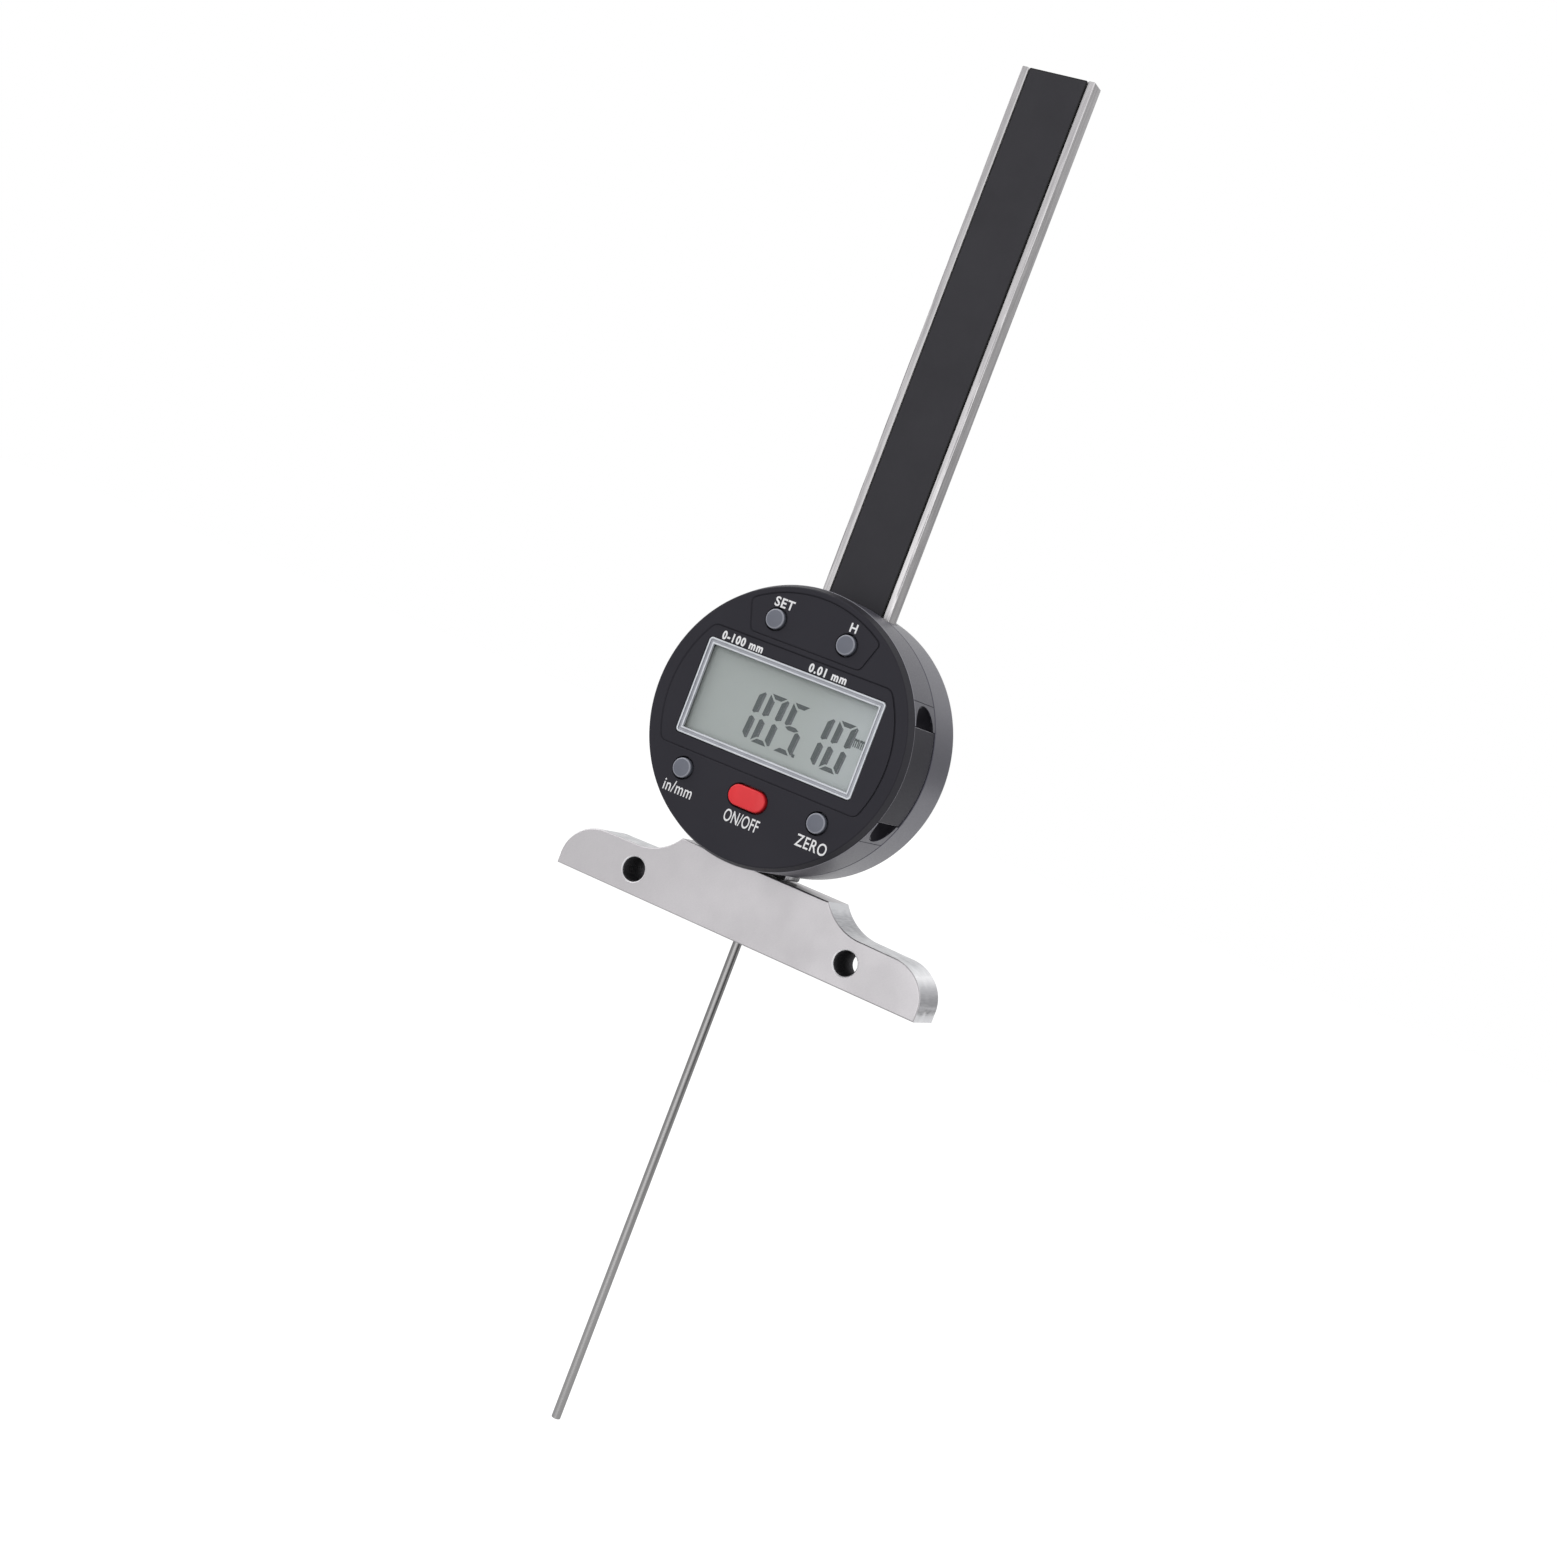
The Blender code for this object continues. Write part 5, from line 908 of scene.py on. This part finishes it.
def make_front_cover():
    """Front shell: face, a rim that falls back as a cone from a small round, side wall, screw bosses and
    board standoffs behind, display seat, button openings and battery window."""
    turn = np.radians(np.linspace(0, 74, 8))
    small = 0.35 * MM
    top = np.stack([FACE_RADIUS - small + small * np.sin(turn), FACE_Y + small * (1 - np.cos(turn))], axis=1)
    step, ledge, overlap = 0.12 * MM, 0.10 * MM, 0.5 * MM
    outer = [(HEAD_RADIUS - ledge, RIM_END_Y), (HEAD_RADIUS - 0.3 * ledge, RIM_END_Y + 0.02 * MM),
             (HEAD_RADIUS, RIM_END_Y + ledge), (HEAD_RADIUS, FRONT_END_Y - step),
             (HEAD_RADIUS - step, FRONT_END_Y)]
    inner = [(SHELL_INNER_RADIUS, FRONT_END_Y), (SHELL_INNER_RADIUS, FACE_BACK_Y), (0, FACE_BACK_Y)]
    cover = lathe("front_shell", np.concatenate([[(0, FACE_Y)], top, outer, inner]), (0, HEAD_CENTRE))
    for spot in boss_spots():
        grown(cover, column(BOSS_RADIUS, FACE_BACK_Y - overlap, FRONT_END_Y - 0.02 * MM, spot))
        cut(cover, column(BOSS_HOLE_RADIUS, BOSS_HOLE_Y, FRONT_END_Y + OVERRUN, spot))
    for spot in STANDOFFS:
        grown(cover, column(STANDOFF_RADIUS, FACE_BACK_Y - overlap, BOARD_FRONT_Y - GAP, spot))
        cut(cover, column(STANDOFF_HOLE_RADIUS, STANDOFF_HOLE_Y, BOARD_FRONT_Y + OVERRUN, spot))
    slack = 0.12 * MM
    seat = rectangle(FRAME_WIDTH / 2 + slack, FRAME_HEIGHT / 2 + slack, FRAME_CORNER + slack, (0, FRAME_CENTRE))
    cut(cover, plate("tool", seat, [(-0.1 * MM, FACE_Y - 0.1 * MM), (0, FACE_Y + 0.08 * MM), (0, LENS_SEAT_Y)]))
    opening = rectangle(19.6 * MM, 9.4 * MM, FRAME_CORNER, (0, FRAME_CENTRE))
    cut(cover, plate("tool", opening, [(0, FACE_Y), (0, FACE_BACK_Y + OVERRUN)]))
    for x, z, length, width in BUTTONS.values():
        cut(cover, button_hole(length, width, (x, z)))
    window = box_outline(WINDOW_FRONT_Y, FRONT_END_Y + OVERRUN, HEAD_CENTRE - TRAY_HALF_HEIGHT,
                         HEAD_CENTRE + TRAY_HALF_HEIGHT)
    cut(cover, plate("tool", window, [(0, WINDOW_INNER_X), (0, HEAD_RADIUS + OVERRUN)], "X"))
    for side in (-1, 1):
        grown(cover, notch_wall(side))
        cut(cover, scoop(side), window_seam(side))
    for path in (panel_outline(), button_panel_outline()):
        cut(cover, panel_step(path, 0.4 * MM, 0.2 * MM))
    dressed(cover, FACE_ABS, nodes=["front_cover"])

    def on_wall(centres, normals):
        """Faces of the side wall and of the small ledge in front of it."""
        outward = np.hypot(centres[:, 0], centres[:, 2] - HEAD_CENTRE)
        return (outward > HEAD_RADIUS - 0.2 * MM) & (centres[:, 1] > RIM_END_Y - 0.01 * MM)

    # Painted light on the side wall
    second_finish(cover, WALL_PAINTED_LIGHT_ABS, on_wall)
    # Painted highlight on the ledge in front of the side wall
    second_finish(cover, EDGE_PAINTED_HIGHLIGHT, lambda centres, normals: on_wall(centres, normals) & (
        centres[:, 1] < RIM_END_Y + ledge))
    # Painted light on the floors of the finger notches
    second_finish(cover, POCKET_PAINTED_LIGHT, lambda centres, normals: (centres[:, 0] > 22.3 * MM) & (
        np.abs(centres[:, 2] - HEAD_CENTRE) > TRAY_HALF_HEIGHT) & (normals[:, 0] > 0.2) & (
        np.hypot(centres[:, 0], centres[:, 2] - HEAD_CENTRE) < HEAD_RADIUS - 0.5 * MM) & (
        centres[:, 1] > WINDOW_FRONT_Y) & (centres[:, 1] < NOTCH_MIDDLE_Y + 0.6 * MM))


def screw_place(name):
    """Centre (x, z) of a screw in the head's back, and the radius of its head."""
    low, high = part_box(name)
    return ((low[0] + high[0]) / 2, (low[2] + high[2]) / 2), (high[0] - low[0]) / 2


def make_rear_cover():
    """Rear shell with a rounded back edge, a lip that closes the parting line from inside, countersinks,
    and notches for neck and housing."""
    turn = np.linspace(0, math.pi / 2, 12)
    edge, step, overlap, column_radius, notch_start, neck_back = (
        1.0 * MM, 0.12 * MM, 0.5 * MM, 1.9 * MM, 24 * MM, 2.6 * MM)
    rounding = np.stack([HEAD_RADIUS - edge + edge * np.cos(turn), BACK_Y - edge + edge * np.sin(turn)], axis=1)
    lip_end, lip_inner, lip_outer = FRONT_END_Y - 0.02 * MM, 25.6 * MM, SHELL_INNER_RADIUS - 0.1 * MM
    inside = [(0, BACK_INNER_Y), (lip_inner, BACK_INNER_Y), (lip_inner, lip_end), (lip_outer, lip_end),
              (lip_outer, REAR_START_Y), (HEAD_RADIUS - step, REAR_START_Y), (HEAD_RADIUS, REAR_START_Y + step)]
    profile = np.concatenate([inside, rounding, [(0, BACK_Y)]])
    cover = lathe("rear_shell", profile, (0, HEAD_CENTRE))
    for spot in boss_spots():
        grown(cover, column(BOSS_RADIUS, REAR_START_Y + 0.02 * MM, BACK_INNER_Y + overlap, spot))
    for side in (-1, 1):
        spot = (side * BODY_SCREW_X, BODY_SCREW_Z)
        grown(cover, column(column_radius, BEAM_BACK_Y + GAP, BACK_INNER_Y + overlap, spot))
    low, high = HEAD_CENTRE - HEAD_RADIUS - OVERRUN, HEAD_CENTRE + HEAD_RADIUS + OVERRUN
    for half, depth, foot, top in ((BEAM_HALF + GAP, BEAM_BACK_Y + GAP, HEAD_CENTRE + notch_start, high),
                                   (RIB_HALF + GAP, RIB_BACK_Y + GAP, HEAD_CENTRE + notch_start, high),
                                   (NECK_HALF + GAP, neck_back, low, HEAD_CENTRE - notch_start)):
        outline = box_outline(-half, half, foot, top)
        cut(cover, plate("tool", outline, [(0, REAR_START_Y - OVERRUN), (0, depth)]))
    for name in SCREW_NODES:
        centre, head = screw_place(name)
        shank, mouth = head * 0.55 + 0.1 * MM, head + 0.12 * MM
        cut(cover, lathe("tool", [(0, REAR_START_Y - OVERRUN), (shank, REAR_START_Y - OVERRUN),
                                  (shank, BACK_Y - head * 0.62), (mouth, BACK_Y - 0.02 * MM),
                                  (mouth, BACK_Y + OVERRUN), (0, BACK_Y + OVERRUN)], centre, steps=HOLE_STEPS))
    dressed(cover, REAR_ABS, nodes=["rear_cover"])


def make_screws():
    """Countersunk screws with a cross recess: a cone under a flat head, cut by two crossed tapered slots."""
    for name in SCREW_NODES:
        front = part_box(name)[0][1]
        centre, head = screw_place(name)
        shank, top = head * 0.46, BACK_Y - 0.06 * MM
        profile = [(0, front), (shank - 0.2 * MM, front), (shank, front + 0.4 * MM),
                   (shank, top - head * 0.62), (head - 0.08 * MM, top - 0.12 * MM),
                   (head - 0.05 * MM, top - 0.04 * MM), (head - 0.14 * MM, top), (0, top)]
        screw = lathe(name + "_turned", profile, centre, steps=64)
        for long, wide in ((0.62, 0.15), (0.15, 0.62)):
            outline = rectangle(head * long, head * wide, head * 0.13, centre, 3)
            cut(screw, plate("tool", outline, [(0.12 * head, top - 0.55 * head), (0, top + 0.2 * MM)]))
        dressed(screw, SCREW_STEEL, nodes=[name])


def make_display():
    """Frame with two raised lines and a channel between them, around the clear window."""
    outline = rectangle(FRAME_WIDTH / 2, FRAME_HEIGHT / 2, FRAME_CORNER, (0, FRAME_CENTRE), 10)
    top, back, border = FRAME_FRONT_Y / MM, FRAME_BACK_Y / MM, FRAME_BORDER / MM
    section = np.array([(0.0, back), (0.0, top + 0.15), (0.06, top + 0.04), (0.14, top), (0.32, top),
                        (0.40, top + 0.06), (0.46, top + 0.26), (0.84, top + 0.26), (0.90, top + 0.12),
                        (0.97, top + 0.06), (1.16, top + 0.06), (1.25, top + 0.12), (border, top + 0.24),
                        (border, back)])
    rows = []
    for inset, depth in section * MM:
        corner = max(FRAME_CORNER - inset, 0.12 * MM)
        line = rectangle(FRAME_WIDTH / 2 - inset, FRAME_HEIGHT / 2 - inset, corner, (0, FRAME_CENTRE), 10)
        rows.append(along("Y", line[:, 0], line[:, 1], np.full(len(line), depth)))
    surround = surface("display_surround", np.array(rows), ring=True)
    dressed(surround, FRAME_SILVER, nodes=["display_frame"], angle=50)
    # Painted shade in the channel between the raised lines
    second_finish(surround, FRAME_GROOVE_PAINTED_SHADE, lambda centres, normals: (
        (centres[:, 1] > FRAME_FRONT_Y + 0.14 * MM) & (centres[:, 1] < FRAME_FRONT_Y + 0.28 * MM)))
    low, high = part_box("display_lens")
    lens = plate("window_lens", outline, rounded(0.1 * MM, low[1], high[1], 2))
    dressed(lens, LENS, nodes=["display_lens"])


def make_buttons():
    """Caps with a rounded shoulder and a shallow dome, over the flange and stem behind the face."""
    for name, (x, z, length, width) in BUTTONS.items():
        low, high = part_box(name)
        top, shoulder, dome, half = low[1], 0.35 * MM, 0.14 * MM, width / 2
        share = np.linspace(0.02, 1 - shoulder / half, 12)
        turn = np.linspace(0.12, math.pi / 2, 8)
        crown = np.stack([half * (1 - share), top + dome * share ** 2], axis=1)
        edge = np.stack([shoulder * (1 - np.sin(turn)), crown[-1, 1] + shoulder * (1 - np.cos(turn))], axis=1)
        back, behind = FACE_BACK_Y + GAP, FACE_BACK_Y + 0.9 * MM
        stem = [(0.0, back), (-0.8 * MM, back), (-0.8 * MM, behind), (0.8 * MM, behind), (0.8 * MM, high[1])]
        red = name == "power_button"
        cap = plate(name + "_cap", stadium(length, width, (x, z)), np.concatenate([crown, edge, stem]))
        dressed(cap, BUTTON_RED if red else BUTTON_GREY, name + "_body", [name],
                40)
        if not red:
            # Painted highlight on the rounded shoulder
            second_finish(cap, BUTTON_RIM_PAINTED_HIGHLIGHT, lambda centres, normals: (
                (centres[:, 1] > edge[0, 1]) & (centres[:, 1] < edge[-3, 1])))


# Marks

def lettering(name, words, place, size, y, material, bold=0.0, spacing=1.0):
    """Printed words on a face that looks along -Y, centred on place (x, z), stretched to size (width,
    height)."""
    curve = bpy.data.curves.new(name, "FONT")
    curve.body = words
    curve.offset = bold
    curve.space_character = spacing
    curve.resolution_u = 6
    curve.extrude = 1.0
    writer = placed(name + "_writer", curve)
    bpy.context.view_layer.update()
    mesh = bpy.data.meshes.new_from_object(writer.evaluated_get(bpy.context.evaluated_depsgraph_get()))
    bpy.data.objects.remove(writer, do_unlink=True)
    bpy.data.curves.remove(curve)
    points = np.empty(len(mesh.vertices) * 3)
    mesh.vertices.foreach_get("co", points)
    points = points.reshape(-1, 3)
    low, high = points.min(axis=0), points.max(axis=0)
    flat = (points - (low + high) / 2) / (high - low)
    film = 0.02 * MM
    spots = np.stack([place[0] + flat[:, 0] * size[0], y - flat[:, 2] * film,
                      place[1] + flat[:, 1] * size[1]], axis=1)
    mesh.vertices.foreach_set("co", spots.ravel())
    mended(mesh)
    piece = placed(name, mesh)
    mesh.materials.clear()
    mesh.materials.append(material)
    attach(piece, "gauge")
    return piece


DIGITS = {"0": "abcdef", "1": "bc", "5": "acdfg"}


def segment(which, width, height, upright, level, gap):
    """Outline of one segment of a seven-segment digit from its lower left corner: a bar with mitred ends,
    and blunt points where upright segments near half height."""
    t, s, w, h, m, part = upright, level, width, height, height / 2, 0.3 * MM
    near = m + s / 2 + 0.6 * gap
    far = m + part + gap
    shapes = {
        "a": [(gap, h), (t + gap, h - s), (w - t - gap, h - s), (w - gap, h)],
        "d": [(gap, 0), (w - gap, 0), (w - t - gap, s), (t + gap, s)],
        "b": [(w - t, near), (w - t / 2, m + part), (w, far), (w, h - gap), (w - t, h - s - gap)],
        "c": [(w - t, s + gap), (w, gap), (w, h - far), (w - t / 2, m - part), (w - t, h - near)],
        "f": [(0, far), (t / 2, m + part), (t, near), (t, h - s - gap), (0, h - gap)],
        "e": [(0, gap), (t, s + gap), (t, h - near), (t / 2, m - part), (0, h - far)],
        "g": [(t / 2 - 0.1 * MM, m), (t + gap, m - s / 2), (w - t - gap, m - s / 2), (w - t / 2 + 0.1 * MM, m),
              (w - t - gap, m + s / 2), (t + gap, m + s / 2)],
    }
    return np.array(shapes[which], dtype=float)


def make_digits():
    """Reading on the display: slanted seven-segment digits drawn just in front of the glass, and beside
    each upright segment the soft shade that it throws on the panel's reflector."""
    width, height, upright, level, gap = 3.9 * MM, 10.17 * MM, 0.98 * MM, 0.9 * MM, 0.27 * MM
    slant, bottom, film, front, soft = 0.086, 38.95 * MM, 0.012 * MM, LENS_SEAT_Y - 0.03 * MM, 0.45 * MM
    places = (("1", -10.12), ("0", -4.9), ("5", 0.32), ("1", 5.54), ("0", 10.76))
    for number, (digit, left) in enumerate(places, 1):
        bars, shades = [], []
        for which in DIGITS[digit]:
            outline = segment(which, width, height, upright, level, gap)
            bars.append((outline, front))
            if which in "bcef":
                edge = outline[:, 0].max()
                side = outline[outline[:, 0] > edge - 0.01 * MM, 1]
                shades.append((np.array([(edge, side.min()), (edge + soft, side.min() + 0.1 * MM),
                                         (edge + soft, side.max() - 0.3 * MM), (edge, side.max())]), front))
        for label, drawn, ink in ((f"digit_{number}", bars, SEGMENT_INK),
                                  (f"digit_shade_{number}", shades, SHADE_INK)):
            plates = []
            for outline, y in drawn:
                x = left * MM + outline[:, 0] + slant * outline[:, 1]
                slanted = np.stack([x, bottom + outline[:, 1]], axis=1)
                plates.append(plate("bar", slanted, [(0, y), (0, y + film)]))
            dressed(joined(label, plates), ink)
    dot = box_outline(0, 0.62 * MM, 0, 0.68 * MM) + (4.62 * MM, bottom + 0.05 * MM)
    dressed(plate("digit_point", dot, [(0, front), (0, front + film)]), SEGMENT_INK)
    lettering("display_unit", "mm", (17.0 * MM, 46.1 * MM), (2.3 * MM, 1.75 * MM), front, SEGMENT_INK,
              bold=0.03)


def make_labels():
    """Plain function words and numbers, printed white."""
    y = FACE_Y - 0.006 * MM
    for name, words, x, z, width, height, bold, spacing in (
            ("label_set", "SET", -7.39, 66.2, 4.30, 1.96, 0.022, 1.10),
            ("label_hold", "H", 8.17, 66.35, 1.52, 1.80, 0.022, 1.0),
            ("label_unit", "in/mm", -14.9, 25.1, 6.6, 2.4, 0.008, 1.08),
            ("label_power", "ON/OFF", 0.43, 24.1, 7.86, 2.5, 0.008, 1.04),
            ("label_zero", "ZERO", 16.0, 24.98, 6.8, 2.4, 0.010, 1.08),
            ("label_range", "0-100 mm", -13.0, 56.4, 9.4, 1.78, 0.042, 1.2),
            ("label_step", "0.01 mm", 6.5, 56.45, 8.4, 1.78, 0.042, 1.2)):
        lettering(name, words, (x * MM, z * MM), (width * MM, height * MM), y, WHITE_INK, bold, spacing)


# Battery tray

def make_tray():
    """Tray: its curved end follows the head's side with broken edges, and a flat arm behind it holds the
    cell."""
    half = TRAY_HALF_HEIGHT - 0.15 * MM
    front, back, reach = WINDOW_FRONT_Y + 0.08 * MM, -7.15 * MM, 27.95 * MM
    angle = math.degrees(math.asin((half - 0.12 * MM) / reach))
    face = arc((0.0, HEAD_CENTRE), reach, reach, -angle, angle, 60)
    x = math.sqrt(reach ** 2 - half ** 2) - 0.14 * MM
    inner = 21.9 * MM
    outline = np.concatenate([[(inner, HEAD_CENTRE - half), (x, HEAD_CENTRE - half)], face,
                              [(x, HEAD_CENTRE + half), (inner, HEAD_CENTRE + half)]])
    tray = plate("tray_body", outline, rounded(0.2 * MM, front, back, 3))
    arm_x, arm_half_length, arm_half_height, arm_corner = 18.25 * MM, 6.35 * MM, 6.7 * MM, 0.8 * MM
    arm_front, cell_front = -14.8 * MM, -14.3 * MM
    arm = rectangle(arm_half_length, arm_half_height, arm_corner, (arm_x, HEAD_CENTRE), 4)
    grown(tray, plate("tool", arm, [(0, arm_front), (0, back - 0.02 * MM)]))
    cut(tray, column(CELL_RADIUS + GAP, cell_front, back + OVERRUN, (CELL_X, HEAD_CENTRE), steps=96))
    slot_start, slot_end, slot_half, slot_top = 9.0 * MM, 13.0 * MM, 1.6 * MM, 4.8 * MM
    face_slot_front, face_slot_back, side_slot_front = -12.5 * MM, -8.9 * MM, -8.6 * MM
    slot = box_outline(slot_start, slot_end, HEAD_CENTRE - slot_half, HEAD_CENTRE + slot_half)
    cut(tray, plate("tool", slot, [(0, face_slot_front), (0, face_slot_back)]))
    slot = box_outline(slot_start, CELL_X, HEAD_CENTRE + slot_half, HEAD_CENTRE + slot_top)
    cut(tray, plate("tool", slot, [(0, side_slot_front), (0, back + OVERRUN)]))
    dressed(tray, TRAY_ABS, "tray", ["battery_tray"])
    # Painted highlight on the tray's edges
    second_finish(tray, EDGE_PAINTED_HIGHLIGHT, lambda centres, normals: (centres[:, 0] > 25.0 * MM) & (
        (np.abs(centres[:, 2] - HEAD_CENTRE) > half - 0.16 * MM) | (np.abs(normals[:, 1]) > 0.15)) & (
        np.abs(normals[:, 1]) < 0.9) & (np.abs(normals[:, 2]) < 0.97))


def make_cell():
    """Button cell: a can with a rounded edge, a gasket ring and a smaller lid."""
    low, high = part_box("battery_cell")
    front, back, radius = low[1], high[1], CELL_RADIUS
    turn = np.linspace(0, math.pi / 2, 6)
    edge, lid = 0.45 * MM, radius - 0.75 * MM
    bottom = np.stack([radius - edge + edge * np.sin(turn), front + edge * (1 - np.cos(turn))], axis=1)
    groove = back - 0.35 * MM
    top = [(radius, groove - 0.1 * MM), (radius - 0.12 * MM, groove), (lid + 0.2 * MM, groove),
           (lid + 0.2 * MM, groove - 0.3 * MM), (lid, groove - 0.3 * MM), (lid, back - 0.15 * MM),
           (lid - 0.15 * MM, back), (0, back)]
    profile = np.concatenate([[(0, front)], bottom, top])
    dressed(lathe("cell_can", profile, (CELL_X, HEAD_CENTRE), steps=96), CELL_STEEL, "tray", ["battery_cell"])


# Picture

def make_camera():
    """Camera solved from the photograph's edges: place, yaw, pitch and roll, and the focal length in
    pixels."""
    yaw, pitch, roll = math.radians(24.932), math.radians(2.983), math.radians(20.934)
    focal = 2180.175
    look = Vector((-math.sin(yaw) * math.cos(pitch), math.cos(yaw) * math.cos(pitch), -math.sin(pitch)))
    right = Vector((math.cos(yaw), math.sin(yaw), 0.0))
    up = right.cross(look)
    camera_x = math.cos(roll) * right + math.sin(roll) * up
    camera_y = -math.sin(roll) * right + math.cos(roll) * up
    data = bpy.data.cameras.new("photo_camera")
    data.sensor_fit = "HORIZONTAL"
    data.sensor_width = 36.0
    data.lens = data.sensor_width * focal / PHOTO_SIZE
    data.clip_start = 0.01
    camera = placed("photo_camera", data)
    turn = Matrix((camera_x, camera_y, -look)).transposed()
    camera.matrix_world = Matrix.Translation((180.81 * MM, -398.77 * MM, 56.15 * MM)) @ turn.to_4x4()
    bpy.context.scene.camera = camera


def lamp(name, place, target, size, power):
    """Rectangular soft box that looks at a target."""
    data = bpy.data.lights.new(name, "AREA")
    data.shape = "RECTANGLE"
    data.size, data.size_y = size
    data.energy = power
    direction = Vector(target) - Vector(place)
    turn = direction.to_track_quat("-Z", "Y").to_matrix().to_4x4()
    placed(name, data).matrix_world = Matrix.Translation(place) @ turn


def seen_directly(tree):
    """1 for camera, glossy and transmission rays, and 0 for the rays that light the object."""
    path = node(tree, "LightPath").outputs
    seen = node(tree, "Math", (path["Is Camera Ray"], path["Is Glossy Ray"]), operation="MAXIMUM")
    return node(tree, "Math", (seen, path["Is Transmission Ray"]), operation="MAXIMUM")


def flagged(tree, direction, level):
    """A brightness as grey flags beside the set dim it: round each flag's direction it falls smoothly."""
    for toward, outer, inner, depth in (((0.50, 0.86, -0.02), 31.0, 8.0, 0.6),
                                        ((-0.72, -0.69, -0.05), 38.0, 6.0, 0.14)):
        near = node(tree, "VectorMath", (direction, Vector(toward).normalized()), operation="DOT_PRODUCT")
        rim, core = math.cos(math.radians(outer)), math.cos(math.radians(inner))
        kept = node(tree, "MapRange", (near, rim, core, 1.0, 1 - depth), interpolation_type="SMOOTHSTEP")
        level = node(tree, "Math", (level, kept), operation="MULTIPLY")
    return level


def make_studio():
    """Pale floor well under the gauge, a white surround, two grey flags that only reflections and the light
    on the object meet, and soft boxes."""
    scene = bpy.context.scene
    scene.view_settings.view_transform = "Standard"
    world = bpy.data.worlds.new("studio")
    scene.world = world
    world.use_nodes = True
    tree = world.node_tree
    tree.nodes.clear()
    toward = node(tree, "TexCoord").outputs["Generated"]
    level = node(tree, "MapRange", (seen_directly(tree), 0.0, 1.0, 0.58, 1.0))
    level = flagged(tree, toward, level)
    camera_ray = node(tree, "LightPath").outputs["Is Camera Ray"]
    level = node(tree, "Math", (level, camera_ray), operation="MAXIMUM")
    shown = node(tree, "Background", {"Color": linear("FFFFFF"), "Strength": level})
    node(tree, "OutputWorld", {"Surface": shown})
    size, depth = 9.0, -0.45
    floor = surface("floor", np.array([[(-size, -size, depth), (size, -size, depth)],
                                       [(-size, size, depth), (size, size, depth)]]), caps=False, wrap=False)
    material, tree, place = started("white_card")
    away = node(tree, "VectorMath", (place, (1.0, 1.0, 0.0)), operation="MULTIPLY")
    away = node(tree, "VectorMath", (away,), operation="LENGTH")
    # Painted soft shadow: the floor's glow is lower near the middle, under the gauge, which also lets the real
    # shadow show
    glow = node(tree, "MapRange", (away, 0.2, 0.5, 0.4, 0.9))
    glow = node(tree, "Math", (glow, seen_directly(tree)), operation="MULTIPLY")
    wired(material, Base_Color=linear("9C9C9C"), Roughness=0.9, Specular_IOR_Level=0.0,
          Emission_Color=linear("FFFFFF"), Emission_Strength=glow)
    floor.data.materials.append(material)
    centre = (0.0, 0.0, 0.05)
    lamp("key_box", (-0.90, -0.30, 0.75), centre, (1.2, 1.2), 7.0)
    lamp("side_box", (1.0, 0.35, 0.45), centre, (1.1, 1.1), 2.2)
    lamp("fill_box", (0.1, -1.15, 0.12), centre, (1.2, 1.2), 5.2)


finish_cad_nodes()
make_base()
make_base_screws()
make_rod()
make_housing()
make_strip()
make_small_blocks()
make_front_cover()
make_rear_cover()
make_screws()
make_display()
make_buttons()
make_digits()
make_labels()
make_tray()
make_cell()
make_camera()
make_studio()
